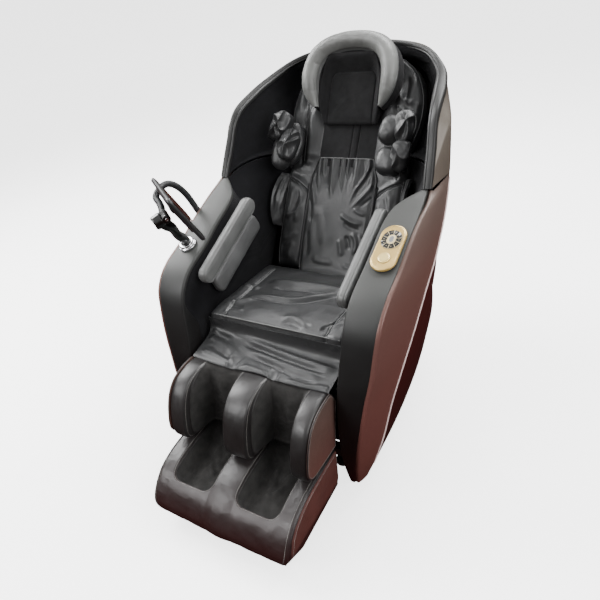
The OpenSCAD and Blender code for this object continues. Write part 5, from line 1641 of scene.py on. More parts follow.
def sweep_pad(prof, x0, x1, R, nx=60, disp=None, bulge=6.0, mat=None, p=None, wfun=None):
    """closed pad: the outline in (y, z) carried from x0 to x1, its two ends rounded with radius R and crowned"""
    p = p or Parts()
    prof = np.asarray(prof, float); n = len(prof)
    T = unit(np.roll(prof, -1, 0) - np.roll(prof, 1, 0))
    N = np.stack([T[:, 1], -T[:, 0]], 1)
    area = 0.5 * np.sum(prof[:, 0] * np.roll(prof[:, 1], -1) - np.roll(prof[:, 0], -1) * prof[:, 1])
    if area < 0:
        N = -N
    a = np.linspace(0, np.pi / 2, 7)[1:]
    xs = np.r_[x0 + R * (1 - np.sin(a[::-1])), np.linspace(x0 + R, x1 - R, nx)[1:-1], x1 - R * (1 - np.sin(a))]
    xs = np.unique(np.round(np.r_[xs, x0 + R, x1 - R], 4))
    G = []
    for x in xs:
        e = min(x - x0, x1 - x)
        off = R - math.sqrt(max(R * R - max(0, R - e) ** 2, 0))
        q = prof - N * off
        G.append(np.column_stack([np.full(n, x), q]))
    G = np.array(G)
    if disp is not None:
        d = disp(G[..., 0], np.broadcast_to(prof[:, 0], G.shape[:2]), np.broadcast_to(prof[:, 1], G.shape[:2]))
        G[..., 1] += N[None, :, 0] * d; G[..., 2] += N[None, :, 1] * d
    # crowned ends
    c = prof.mean(0)
    ends = []
    for side, x, row in ((-1, x0, G[0]), (1, x1, G[-1])):
        rings = []
        for s_ in (0.93, 0.82, 0.66, 0.45, 0.22):
            yz = row[:, 1:] * s_ + c * (1 - s_)
            xx = row[:, 0] + side * bulge * (1 - s_ ** 2) ** 0.8 * (1 - 0.0 * s_)
            rings.append(np.column_stack([xx, yz]))
        ends.append(rings)
    full = np.array(ends[0][::-1] + list(G) + ends[1])
    base = p.n
    mi = 0 if mat is None else mat
    p.grid(full, cv=True, mat=mi if np.ndim(mi) == 0 else 0)
    for row, sgn in ((0, -1), (len(full) - 1, 1)):
        ctr = p.n
        p.v.append(np.array([[full[row][:, 0].mean() + sgn * 0.4, c[0], c[1]]])); p.n += 1
        for j in range(n):
            f = [ctr, base + row * n + j, base + row * n + (j + 1) % n]
            p.f.append(f if sgn > 0 else f[::-1]); p.m.append(0 if np.ndim(mi) else mi)
    return p


# ------------------------------------------------------------------ seat cushion
SEAT = closed_profile([[-353, 377], [-364, 424], [-366, 470], [-358, 492], [-320, 497], [-180, 490], [-60, 484], [-16, 478], [-6, 462], [-8, 377]], 330, r=[4, 20, 16, 9, 30, 40, 30, 12, 14, 4])
SEAT_FOLDS = [
    ([[-214, -322], [-170, -287], [-112, -246], [-10, -234], [40, -208], [118, -148], [170, -120]], 13, 10, 0.10, 0.15),
    ([[-190, -300], [-130, -258], [-20, -252], [40, -228], [120, -168]], 7, -6, 0.1, 0.15),
    ([[-150, -150], [-60, -134], [40, -126], [130, -130], [190, -140]], 16, 9, 0.12, 0.12),
    ([[-110, -180], [-20, -166], [60, -156], [140, -128]], 8, -7, 0.15, 0.15),
    ([[10, -330], [50, -318], [90, -330], [128, -346]], 11, 5), ([[20, -345], [60, -338], [100, -352]], 8, -3),
    ([[-190, -350], [-160, -335], [-120, -330]], 8, 4), ([[-205, -300], [-170, -310], [-130, -316]], 7, -3),
    ([[150, -340], [180, -300], [205, -262]], 6, -9, 0.1, 0.25), ([[164, -330], [190, -296], [214, -262]], 10, 5, 0.1, 0.25),
    ([[-225, -200], [-190, -190], [-150, -200]], 10, 4), ([[200, -220], [170, -200], [150, -170]], 9, 4),
]


def seat_disp(X, Y, Z):
    top = smooth(440, 486, Z)
    h = 7 * np.cos(np.clip(X / 238, -1, 1) * np.pi / 2) * top * smooth(-6, -60, Y) * smooth(-366, -300, Y)
    h = h + top * folds(X, Y, SEAT_FOLDS)
    # side bolsters and the seams beside them
    a = np.abs(X)
    h = h + top * (-4.5 * np.exp(-((a - 178 - 0.02 * (Y + 350)) / 4.5) ** 2) + 5 * np.exp(-((a - 208) / 20) ** 2)) * smooth(-20, -80, Y)
    P = np.stack([X, Y, Z], -1)
    h = h + top * (1.2 * ridged(P, [130, 80, 60], 71, 2) + 0.6 * fbm(P, [46, 40, 30], 73, 2))
    front = smooth(-330, -364, Y) * smooth(492, 470, Z)
    h = h + front * (4 * np.sin(np.pi * np.clip((Z - 380) / 96, 0, 1)) + 0.9 * ridged(P, [34, 60, 90], 75, 2))
    # hem at the front edge
    h = h + 1.8 * np.exp(-((Z - 489) / 2.6) ** 2) * smooth(-340, -356, Y)
    return h


def make_seat():
    return sweep_pad(SEAT, -238, 238, 17, nx=190, disp=seat_disp, bulge=1.5)


def seat_trim():
    p = Parts()
    x = np.linspace(-224, 224, 200)
    y = -360.5 - 1.5 * np.cos(x / 238 * np.pi / 2)
    tube_parts(np.column_stack([x, y, np.full(200, 490.5) + 1.4 * np.cos(x / 238 * np.pi / 2)]), 2.1, 8, p=p, mat=0)
    for sg in (-1, 1):
        yy = np.linspace(-350, -40, 150)
        xx = sg * (178 + 0.02 * (yy + 350))
        zz = np.interp(yy, [-358, -320, -180, -60, -16], [492, 497, 490, 484, 478]) + 7 * math.cos(178 / 238 * math.pi / 2) * smooth(-6, -60, yy) * smooth(-366, -300, yy) - 2.2
        zz = zz + folds(xx, yy, SEAT_FOLDS) * 0.95
        tube_parts(np.column_stack([xx, yy, zz]), 2.0, 8, p=p, mat=0)
    return p


# ------------------------------------------------------------------ flap from the seat to the leg rest
FLAP = np.array([[-369, 478], [-368.5, 462], [-370, 446], [-376, 433], [-386, 424.5], [-400, 419], [-416, 415], [-432, 412], [-447, 410], [-460, 408], [-471, 406], [-478, 403.5], [-480, 401]], float)


def make_flap():
    nx, nv = 220, 90
    A = spline(FLAP, nv)
    T = unit(np.gradient(A, axis=0)); N = np.stack([T[:, 1], -T[:, 0]], 1)
    N *= np.where(N[:, 1:2] + -N[:, :1] > 0, 1, -1)          # forward and up
    x = np.linspace(-239, 239, nx); v = np.linspace(0, 1, nv)
    X, V = np.meshgrid(x, v, indexing="ij")
    F = [([[-228, 0.80], [-150, 0.82], [-100, 0.90], [-70, 0.96]], 0.055, 5, 0.2, 0.2), ([[-60, 0.90], [0, 0.93], [50, 0.97]], 0.05, 4, 0.2, 0.2), ([[96, 0.94], [160, 0.93], [236, 0.92]], 0.06, 5, 0.2, 0.05),
         ([[-80, 0.52], [0, 0.60], [80, 0.66], [170, 0.70], [225, 0.70]], 0.075, 9, 0.2, 0.2), ([[-60, 0.66], [20, 0.72], [110, 0.80], [190, 0.82]], 0.05, -6, 0.2, 0.2),
         ([[-120, 0.30], [-20, 0.36], [80, 0.44], [190, 0.50], [232, 0.52]], 0.07, 8, 0.2, 0.1), ([[-100, 0.42], [0, 0.49], [100, 0.56], [200, 0.60]], 0.045, -6, 0.2, 0.2),
         ([[-232, 0.42], [-180, 0.50], [-120, 0.66], [-86, 0.86]], 0.07, 6, 0.1, 0.2), ([[-225, 0.62], [-170, 0.70], [-110, 0.84]], 0.045, -4, 0.2, 0.2),
         ([[-230, 0.25], [-190, 0.34], [-140, 0.40]], 0.06, 5, 0.2, 0.2), ([[100, 0.84], [150, 0.90], [200, 0.88]], 0.04, -4, 0.2, 0.2)]
    H = np.zeros_like(X)
    for f in F:
        pl = np.asarray(f[0], float) * [1 / 240, 1]
        H += folds(X / 240, V, [(pl, f[1], f[2], f[3], f[4])])
    # pulled-down points above the two inner edges of the wells
    dy = np.zeros_like(X)
    for x0, am in ((-86, 1.0), (60, 1.0)):
        g = np.exp(-((X - x0) / 16) ** 2) * smooth(0.72, 1.0, V)
        H -= 7 * am * g
        dy -= 7 * am * g
        for k, sg in ((15, 1), (-15, 1)):
            H += 2.5 * np.exp(-((X - x0 - k * (1 + 1.6 * (1 - V))) / (5 + 7 * (1 - V))) ** 2) * smooth(0.55, 0.95, V) * am
    P = np.stack([X, V * 120, 0 * X], -1)
    H = H + 1.0 * ridged(P, [110, 44, 30], 81, 2) * smooth(0.05, 0.3, V) + 0.4 * fbm(P, [40, 26, 20], 83, 2)
    H = H * smooth(0, 0.12, V)
    # the lower edge bows forward a little in the middle
    roll = smooth(0.93, 1.0, V)
    Yc = A[None, :, 0] + N[None, :, 0] * H + 6 * np.cos(X / 240 * np.pi * 2.0) * smooth(0.5, 1, V) * 0.5 + dy
    Zc = A[None, :, 1] + N[None, :, 1] * H + 1.0 * np.cos(X / 240 * np.pi * 1.5) * smooth(0.6, 1, V)
    G = np.stack([X, Yc, Zc], -1)
    NN = normals(G); NN *= np.sign(NN[..., 2:3] - NN[..., 1:2])
    B = G - NN * 3.2
    return pad_between(G, B)


# ------------------------------------------------------------------ pads on the arms
def capsule_profile(L, Hh, R, n=160):
    """rounded rectangle in the pad's own (along, up) plane"""
    P = []
    for cx_, cy_, a0 in ((L / 2 - R, Hh / 2 - R, 0), (-L / 2 + R, Hh / 2 - R, 90), (-L / 2 + R, -Hh / 2 + R, 180), (L / 2 - R, -Hh / 2 + R, 270)):
        for a in np.linspace(a0, a0 + 90, 14):
            P.append([cx_ + R * math.cos(math.radians(a)), cy_ + R * math.sin(math.radians(a))])
    return closed_profile(P, n)


def arm_frame(prof, cy_, cz_, ang):
    a = math.radians(ang); c, s = math.cos(a), math.sin(a)
    # angle 23.7 tips the rear end up; the rotation is about x, in the (y, z) plane
    return np.column_stack([cy_ + prof[:, 0] * c - prof[:, 1] * s, cz_ + prof[:, 0] * s + prof[:, 1] * c])


def make_arm_pad():
    prof = arm_frame(capsule_profile(338, 55, 27), -195, 668, 23.7)

    def d(X, Y, Z):
        P = np.stack([X, Y, Z], -1)
        u = (Y + 195) * math.cos(math.radians(23.7)) + (Z - 668) * math.sin(math.radians(23.7))
        w = -(Y + 195) * math.sin(math.radians(23.7)) + (Z - 668) * math.cos(math.radians(23.7))
        up = smooth(0, 20, w)
        return 1.5 * up - 2.6 * np.exp(-((X - 247) / 1.8) ** 2) * up + 0.5 * fbm(P, [60, 60, 60], 91, 2)
    return sweep_pad(prof, 222, 256.5, 13, nx=44, disp=d, bulge=1.5)


def arm_pad_trim():
    prof = arm_frame(capsule_profile(338, 55, 27), -195, 668, 23.7)
    p = Parts()
    q = np.vstack([prof, prof[:1]])
    # welt round the face of the pad
    a = np.radians(23.7)
    c = np.array([-195, 668.0])
    inner = c + (q - c) * 1.0
    T = unit(np.roll(prof, -1, 0) - np.roll(prof, 1, 0)); N = np.stack([T[:, 1], -T[:, 0]], 1)
    ar = 0.5 * np.sum(prof[:, 0] * np.roll(prof[:, 1], -1) - np.roll(prof[:, 0], -1) * prof[:, 1])
    N = N if ar > 0 else -N
    w = prof - N * 3.2
    tube_parts(np.column_stack([np.full(len(w), 225.6), w]), 1.7, 7, closed=True, p=p)
    return p


def make_hip_pad():
    prof = arm_frame(capsule_profile(289, 71, 22), -165, 604, 23.7)

    def d(X, Y, Z):
        P = np.stack([X, Y, Z], -1)
        return 0.7 * fbm(P, [60, 60, 60], 95, 2) + 1.2 * ridged(P, [60, 40, 70], 96, 2)
    return sweep_pad(prof, 229, 256.5, 11, nx=30, disp=d, bulge=3.0)


c = from_parts("seat_pad", make_seat(), "root", [L_BLACK], replaces=["seat_cushion"], slot="leather_black", sharp=70)
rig.padded(c, fill=0.6)
from_parts("seat_piping", seat_trim(), "root", [L_PAD], slot="leather_black", sharp=60)
c = from_parts("seat_front_flap", make_flap(), None, [L_BLACK], replaces=["seat_flap"], slot="leather_black", sharp=75)
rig.blend(c, "root", "leg_rest", start=(0, (-372 + OY) / 1000, 0.440), end=(0, (-452 + OY) / 1000, 0.406))
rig.padded(c, fill=0.15)
for c in both_sides("arm_pad", make_arm_pad, "root", [L_PAD], replaces=["arm_airbag"], slot="arm_grey", sharp=60):
    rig.padded(c, fill=0.9)
both_sides("arm_pad_welt", arm_pad_trim, "root", [L_PAD], slot="arm_grey", sharp=60)
for c in both_sides("hip_cushion", make_hip_pad, "root", [L_HIP], replaces=["hip_pad"], slot="leather_black", sharp=60):
    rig.padded(c, fill=0.7)

# ------------------------------------------------------------------ leg rest
CWI, CWO = 38.0, 186.0      # inner and outer edges of a calf well
FWI, FWO = 38.0, 190.0      # and of a foot well
CHW = 241.0                 # half width of the calf pads
LOBE = spline(np.array([[-470, 397], [-500, 399.5], [-537, 395], [-572, 381], [-602, 352], [-624, 306], [-636, 262], [-638.5, 238], [-634, 222], [-624, 213], [-606, 210.5]], float), 150)
WELLP = spline(np.array([[-474, 396], [-480, 394], [-488, 388], [-496, 372], [-504, 340], [-511, 300], [-516, 262], [-519, 238], [-521, 226], [-524, 216], [-530, 211]], float), 150)


def well_mask(x, xi, xo, r):
    """0 on a lobe, 1 in a well, with walls r wide"""
    a = np.abs(x)
    return smooth(xi - 2, xi + r, a) * smooth(xo + 2, xo - r, a)


def xstations(lines, lo, hi, coarse, fine, reach):
    xs = [lo]
    while xs[-1] < hi:
        d = min(abs(xs[-1] - l) for l in lines)
        xs.append(xs[-1] + (fine if d < reach else coarse))
    xs[-1] = hi
    return np.array(xs)


LEG_LINES = [-CWO, -CWI, CWI, CWO]


def make_calf():
    xs = xstations([l + o for l in LEG_LINES for o in (-8, 8)], -CHW, CHW, 5.0, 1.6, 16)
    n = len(LOBE)
    v = np.linspace(0, 1, n)
    X, V = np.meshgrid(xs, v, indexing="ij")
    a = np.abs(X)
    g = well_mask(X, CWI, CWO, 24)
    # the lobes are crowned across
    outer = np.maximum(0, 1 - ((a - 214) / 32) ** 2); inner = np.maximum(0, 1 - (X / 42) ** 2)
    crown = (outer + inner) * 5.0
    side = roll_off(CHW - a, 15)
    gg = 1 - (1 - g) ** 1.0
    Y = LOBE[None, :, 0] * (1 - gg) + WELLP[None, :, 0] * gg
    Z = LOBE[None, :, 1] * (1 - gg) + WELLP[None, :, 1] * gg
    T = unit(np.gradient(LOBE, axis=0)); N = np.stack([T[:, 1], -T[:, 0]], 1)
    P = np.stack([X, V * 340, 0 * X], -1)
    h = crown * (1 - gg) * np.sin(np.pi * np.clip(V * 1.02, 0, 1)) ** 0.5 - side
    h = h + (1 - gg) * (0.5 * fbm(P, [60, 60, 40], 101, 2) + 0.6 * ridged(P, [26, 90, 30], 102, 2) * 0.6)
    # cloth in the wells
    wf = [([[-150, 40], [-120, 120], [-100, 240]], 16, 4), ([[-80, 60], [-100, 150], [-96, 260]], 12, -3), ([[-140, 180], [-112, 210], [-80, 200]], 10, 3),
          ([[150, 50], [124, 130], [104, 240]], 16, 4), ([[82, 60], [98, 150], [110, 250]], 12, -3), ([[84, 190], [114, 214], [146, 190]], 10, 3)]
    h = h + gg * (2.2 * fbm(P, [40, 70, 40], 103, 3) + 1.4 * folds(X, V * 340, wf))
    Y = Y + N[None, :, 0] * h; Z = Z + N[None, :, 1] * h
    F = np.stack([X, Y, Z], -1)
    # back surface
    Bp = spline(np.array([[-470, 393], [-474, 392], [-478, 388], [-484, 366], [-492, 330], [-499, 290], [-504, 256], [-507, 236], [-509, 224], [-512, 214], [-518, 208]], float), n)
    B = np.stack([X * 0.985, np.broadcast_to(Bp[:, 0], X.shape), np.broadcast_to(Bp[:, 1], X.shape)], -1)
    p = pad_between(F, B)
    nf = (len(xs) - 1) * (n - 1)
    F4 = gridf(len(xs), n)
    gc = well_mask(0.5 * (xs[:-1] + xs[1:]), CWI, CWO, 24)
    lim = 0.20
    for q in range(nf):
        i = q // (n - 1)
        p.m[q] = 1 if gc[i] > lim else 0
    return p, xs, gg, F


def seam_x():
    """x at which the leather of a lobe is sewn to the cloth of a well"""
    a = np.linspace(CWI - 2, CWI + 24, 400)
    xi = a[np.argmin(np.abs(well_mask(a, CWI, CWO, 24) - 0.20))]
    return xi, CWO - (xi - CWI)


def calf_trim(F, xs):
    p = Parts()
    n = F.shape[1]
    xi, xo = seam_x()
    for x0, sg in ((-xo, -1), (-xi, 1), (xi, -1), (xo, 1)):
        i = int(np.clip(np.searchsorted(xs, x0), 1, len(xs) - 1))
        t = (x0 - xs[i - 1]) / (xs[i] - xs[i - 1])
        L = F[i - 1] * (1 - t) + F[i] * t
        tube_parts(L[3:-2], 1.5, 7, p=p, mat=0)
        for off in (3.2,):
            x1 = x0 + sg * off
            k = int(np.clip(np.searchsorted(xs, x1), 1, len(xs) - 1))
            t = (x1 - xs[k - 1]) / (xs[k] - xs[k - 1])
            L2 = F[k - 1] * (1 - t) + F[k] * t
            T = unit(np.gradient(L2, axis=0)); nn = unit(np.cross(T, [1.0, 0, 0])); nn *= np.sign(nn[:, 2:3] - nn[:, 1:2])
            stitch_parts((L2 + nn * 0.3)[4:-3], 5.0, 3.2, 0.5, p=p, mat=1)
    return p


SIDEP = np.array([[-452, 362], [-470, 392], [-478, 400], [-500, 401.5], [-537, 397], [-575, 383], [-605, 353.5], [-628, 306], [-640, 262], [-640, 245], [-634, 231], [-622, 222], [-598, 218.5], [-490, 215]], float)


def make_calf_side():
    """padded side panel of the leg rest"""
    prof = closed_profile(spline(np.vstack([SIDEP[1:-1]]), 160).tolist() + [[-490, 215], [-470, 300], [-452, 362]], 260)
    c = np.array([-548, 300.0])
    rings = np.r_[1.0, 0.985, 0.965, 0.94, np.linspace(0.9, 0.04, 22)]
    p = Parts(); n = len(prof)
    T = unit(np.roll(prof, -1, 0) - np.roll(prof, 1, 0))
    G = []
    for s_ in rings:
        yz = c + (prof - c) * s_
        x = np.full(n, CHW + 0.6) + 2.4 * smooth(1.0, 0.955, s_) + 1.2 * smooth(0.9, 0.3, s_)
        P = np.column_stack([np.zeros(n), yz])
        x = x + 0.35 * fbm(P, [30, 30, 30], 111, 2) * smooth(1.0, 0.93, s_)
        G.append(np.column_stack([x, yz]))
    G = np.array(G)
    B = G.copy(); B[..., 0] = CHW - 1.0
    F = [list(f) for f in gridf(len(G), n, cv=True)]
    k = len(G) * n
    F += [list(f) for f in gridf(len(G), n, cv=True, off=k, flip=True)]
    F += [[j, (j + 1) % n, k + (j + 1) % n, k + j] for j in range(n)]
    last = (len(G) - 1) * n
    F.append([last + j for j in range(n)]); F.append([k + last + j for j in range(n - 1, -1, -1)])
    p.add(np.vstack([G.reshape(-1, 3), B.reshape(-1, 3)]), F)
    return p


def calf_side_trim():
    prof = closed_profile(spline(np.vstack([SIDEP[1:-1]]), 160).tolist() + [[-490, 215], [-470, 300], [-452, 362]], 260)
    c = np.array([-548, 300.0])
    p = Parts()
    tube_parts(np.column_stack([np.full(len(prof), CHW + 1.2), c + (prof - c) * 0.992]), 1.7, 7, closed=True, p=p, mat=0)
    q = c + (prof - c) * 0.955
    stitch_parts(np.column_stack([np.full(len(q), CHW + 3.2), q]), 5.0, 3.2, 0.5, p=p, mat=1, closed=True)
    return p


# ------------------------------------------------------------------ foot box
FTOP = spline(np.array([[-488, 198], [-500, 199], [-545, 197.5], [-590, 194], [-630, 190.5], [-665, 185], [-702, 174], [-735, 156], [-762, 130], [-781, 100], [-789, 80], [-790, 64], [-784, 50], [-769, 40], [-750, 36.5]], float), 240)


def foot_floor(y):
    return np.interp(y, [-735, -700, -655, -610, -560, -520, -500], [121, 118, 118, 122, 138, 160, 172])


def foot_mask(X, Y):
    # the front corners of a well are rounded in plan
    a = np.abs(X); ctr = 0.5 * (FWI + FWO); hw_ = 0.5 * (FWO - FWI)
    dx = np.maximum(np.abs(a - ctr) - (hw_ - 34), 0); dy = np.maximum(-(Y + 707), 0)
    rr = np.hypot(dx, dy)
    g = smooth(35, 15, rr)
    g = np.where(Y > -707, smooth(hw_ + 1, hw_ - 19, np.abs(a - ctr)), g)
    return g * smooth(-499, -511, Y)


FR = 62.0


def foot_hw(z):
    """half width: the lower corners are rounded"""
    e = np.clip(FR - (z - 37.0), 0, FR)
    return 241.5 - 0.85 * (FR - np.sqrt(np.maximum(FR * FR - e * e, 0)))


def make_foot():
    xs = xstations([l + o for l in [-FWO, -FWI, FWI, FWO] for o in (-8, 8)], -241.5, 241.5, 5.0, 1.8, 18)
    n = len(FTOP)
    X = np.broadcast_to(xs[:, None], (len(xs), n)).copy()
    Y = np.broadcast_to(FTOP[None, :, 0], X.shape).copy(); Z = np.broadcast_to(FTOP[None, :, 1], X.shape).copy()
    idx = np.arange(n)
    top = idx < np.argmin(np.abs(FTOP[:, 0] + 744))
    g = foot_mask(X, Y) * top[None, :]
    T = unit(np.gradient(FTOP, axis=0)); N = np.stack([T[:, 1], -T[:, 0]], 1)
    a = np.abs(X)
    P = np.stack([X, Y, Z], -1)
    h = -roll_off(241.5 - a, 13) + (1 - g) * (0.5 * fbm(P, [60, 60, 60], 121, 2) + 0.5 * ridged(P, [40, 30, 60], 122, 2))
    h = h + (1 - g) * 3.5 * np.maximum(0, 1 - (X / 44) ** 2) * smooth(-500, -530, Y)
    h = h + 3.0 * np.cos(X / 241 * np.pi / 2) * smooth(-735, -765, Y)
    # hand-pulled ripples where the cloth goes down into the wells
    Y = Y + N[None, :, 0] * h; Z = Z + N[None, :, 1] * h
    fl = foot_floor(Y)
    wf = [([[-150, -560], [-120, -610], [-112, -680]], 13, 6), ([[-86, -560], [-96, -620], [-100, -690]], 10, 5), ([[-130, -600], [-104, -640], [-84, -650]], 8, -4),
          ([[150, -560], [126, -610], [114, -680]], 13, 6), ([[84, -560], [94, -620], [104, -690]], 10, 5), ([[130, -600], [104, -640], [84, -650]], 8, -4)]
    fl = fl + 2.8 * fbm(P, [34, 60, 40], 124, 3) + 1.5 * folds(X, Y, wf)
    Z = Z * (1 - g) + np.minimum(fl, Z) * g
    X = X * foot_hw(np.where(g > 0.01, 200, Z)) / 241.5
    Fr = np.stack([X, Y, Z], -1)
    # underside and rear
    Bt = np.column_stack([np.interp(idx, [0, n * 0.12, n * 0.9, n - 1], [-489.5, -496, -746, -749]), np.interp(idx, [0, n * 0.12, n * 0.9, n - 1], [190, 54, 38, 37.5])])
    B = np.stack([X * 0.97, np.broadcast_to(Bt[:, 0], X.shape), np.broadcast_to(Bt[:, 1], X.shape)], -1)
    p = pad_between(Fr, B)
    F4 = gridf(len(xs), n)
    gc = (g[:-1, :-1] + g[1:, 1:] + g[1:, :-1] + g[:-1, 1:]).reshape(-1) / 4
    for q in range(len(F4)):
        p.m[q] = 1 if gc[q] > 0.16 else 0
    return p, xs, Fr, g


def contour(F, g, level, side):
    """the line on the surface where the mask has this level, over one well"""
    nx, ny = g.shape
    x = F[:, 0, 0]
    ctr = side * 0.5 * (FWI + FWO)
    ic = int(np.argmin(np.abs(x - ctr)))
    lines = []
    for direction in (-1, 1):
        pts = []
        for j in range(ny):
            if g[ic, j] < level:
                continue
            i = ic
            while 0 < i < nx - 1 and g[i, j] >= level:
                i += direction
            k = i - direction
            t = (g[k, j] - level) / max(g[k, j] - g[i, j], 1e-6)
            pts.append(F[k, j] * (1 - t) + F[i, j] * t)
        lines.append(np.array(pts))
    # front end: along the path at the middle
    jmax = max(j for j in range(ny) if g[ic, j] >= level)
    a, b = lines
    front = []
    lo, hi = a[-1][0], b[-1][0]
    for i in range(nx):
        if min(lo, hi) < x[i] < max(lo, hi):
            js = [j for j in range(ny) if g[i, j] >= level]
            if js:
                j = max(js)
                t = (g[i, j] - level) / max(g[i, j] - g[i, j + 1], 1e-6)
                front.append(F[i, j] * (1 - t) + F[i, j + 1] * t)
    front = np.array(front)
    if len(front) and abs(front[0][0] - a[-1][0]) > abs(front[-1][0] - a[-1][0]):
        front = front[::-1]
    L = np.vstack([a, front, b[::-1]]) if len(front) else np.vstack([a, b[::-1]])
    # smooth and even out
    d = np.r_[0, np.cumsum(np.maximum(np.linalg.norm(np.diff(L, axis=0), axis=1), 1e-6))]
    w = np.linspace(0, d[-1], 260)
    Q = np.stack([np.interp(w, d, L[:, k]) for k in range(3)], 1)
    for _ in range(5):
        Q[1:-1] = 0.25 * Q[:-2] + 0.5 * Q[1:-1] + 0.25 * Q[2:]
    return Q


def foot_trim(Fr, g):
    p = Parts()
    for side in (-1, 1):
        L = contour(Fr, g, 0.16, side)
        tube_parts(L[2:-2] + [0, 0, 0.2], 1.6, 7, p=p, mat=0)
        L2 = contour(Fr, g, 0.035, side)
        stitch_parts(L2[4:-4] + [0, 0, 0.5], 5.0, 3.2, 0.5, p=p, mat=1)
    # welts along the side edges
    for sg in (-1, 1):
        i = int(np.argmin(np.abs(Fr[:, 0, 0] - sg * 235)))
        L = Fr[i].copy()
        T = unit(np.gradient(L, axis=0)); nn = unit(np.cross(T, [1.0, 0, 0])); nn *= np.sign(nn[:, 2:3] - nn[:, 1:2])
        tube_parts(L[2:-26] + nn[2:-26] * 0.4, 1.6, 7, p=p, mat=0)
        i = int(np.argmin(np.abs(Fr[:, 0, 0] - sg * 229)))
        L = Fr[i]
        stitch_parts(L[3:-26] + nn[3:-26] * 0.4, 5.0, 3.2, 0.5, p=p, mat=1)
    return p


FSIDE = np.array([[-489, 192], [-500, 193.5], [-545, 192], [-590, 188.5], [-630, 185], [-665, 179.5], [-700, 168.5], [-731, 151.5], [-757, 127], [-770, 99], [-775, 83], [-775, 70], [-768, 59], [-756, 51], [-741, 47.5], [-689, 47], [-594, 51], [-500, 60]], float)


def make_foot_side():
    prof = closed_profile(FSIDE.tolist(), 280)
    c = np.array([-630, 112.0])
    rings = np.r_[1.0, 0.985, 0.965, 0.94, np.linspace(0.9, 0.04, 20)]
    n = len(prof); G = []
    for s_ in rings:
        yz = c + (prof - c) * s_
        x = foot_hw(yz[:, 1]) - 0.6 + 2.6 * smooth(1.0, 0.95, s_) + 1.0 * smooth(0.9, 0.3, s_)
        P = np.column_stack([np.zeros(n), yz])
        x = x + 0.35 * fbm(P, [30, 30, 30], 131, 2) * smooth(1.0, 0.93, s_)
        G.append(np.column_stack([x, yz]))
    G = np.array(G); B = G.copy(); B[..., 0] -= 3.0
    F = [list(f) for f in gridf(len(G), n, cv=True)]
    k = len(G) * n
    F += [list(f) for f in gridf(len(G), n, cv=True, off=k, flip=True)]
    F += [[j, (j + 1) % n, k + (j + 1) % n, k + j] for j in range(n)]
    last = (len(G) - 1) * n
    F.append([last + j for j in range(n)]); F.append([k + last + j for j in range(n - 1, -1, -1)])
    return Parts().add(np.vstack([G.reshape(-1, 3), B.reshape(-1, 3)]), F)


def foot_side_trim():
    prof = closed_profile(FSIDE.tolist(), 280)
    c = np.array([-630, 112.0]); p = Parts()
    q = c + (prof - c) * 0.95
    stitch_parts(np.column_stack([foot_hw(q[:, 1]) + 2.1, q]), 5.0, 3.2, 0.5, p=p, mat=0, closed=True)
    return p


P_, XS_, G_, F_ = make_calf()
c = from_parts("calf_pads", P_, "leg_rest", [L_LEG, F_WELL], replaces=["calf_cushions"], slot="leg_leather", sharp=70)
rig.padded(c, fill=0.85)
from_parts("calf_stitching", calf_trim(F_, XS_), "leg_rest", [L_LEG, M_THREAD], slot="leg_leather", sharp=60)
q_ = [make_calf_side(), calf_side_trim()]
q2_ = [mirror_parts(a) for a in q_]
for nm, part, mats in (("calf_side_left", q_[0], [L_SIDE]), ("calf_side_right", q2_[0], [L_SIDE]), ("calf_welt_left", q_[1], [L_LEG, M_THREAD]), ("calf_welt_right", q2_[1], [L_LEG, M_THREAD])):
    c = from_parts(nm, part, "leg_rest", mats, replaces=["calf_side_panels"] if nm == "calf_side_left" else [], slot="leg_side", sharp=60)
    if "side" in nm:
        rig.padded(c, fill=0.3)
P_, XS_, F_, G_ = make_foot()
c = from_parts("foot_pads", P_, "foot", [L_LEG, F_WELL], replaces=["foot_box", "foot_liners"], slot="leg_leather", sharp=70)
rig.padded(c, fill=0.85)
from_parts("foot_stitching", foot_trim(F_, G_), "foot", [L_LEG, M_THREAD], slot="leg_leather", sharp=60)
q_ = [make_foot_side(), foot_side_trim()]
for nm, part, mats in (("foot_side_left", q_[0], [L_SIDE]), ("foot_side_right", mirror_parts(q_[0]), [L_SIDE]), ("foot_side_stitch_left", q_[1], [M_THREAD]), ("foot_side_stitch_right", mirror_parts(q_[1]), [M_THREAD])):
    from_parts(nm, part, "foot", mats, slot="leg_leather", sharp=60)

# ------------------------------------------------------------------ turned and lofted small pieces
def axis_frame(d, ref=(1.0, 0, 0)):
    w = unit(np.asarray(d, float)); u = np.asarray(ref, float) - w * np.dot(ref, w)
    u = unit(u); return np.stack([u, np.cross(w, u), w], 1)


def lathe(prof, o, R, n=64, p=None, mat=0):
    """prof: (radius, height) pairs from one end of the axis to the other; o: origin; R: columns u, v, w"""
    p = p or Parts()
    a = np.linspace(0, 2 * np.pi, n, endpoint=False)
    prof = np.asarray(prof, float)
    G = np.array([np.column_stack([r * np.cos(a), r * np.sin(a), np.full(n, h)]) for r, h in prof])
    G = G @ R.T + np.asarray(o, float)
    base = p.n
    p.grid(G, cv=True, mat=mat)
    for row, fl in ((0, True), (len(prof) - 1, False)):
        if prof[row][0] > 1e-3:
            f = [base + row * n + j for j in range(n)]
            p.f.append(f[::-1] if fl else f); p.m.append(mat)
    return p


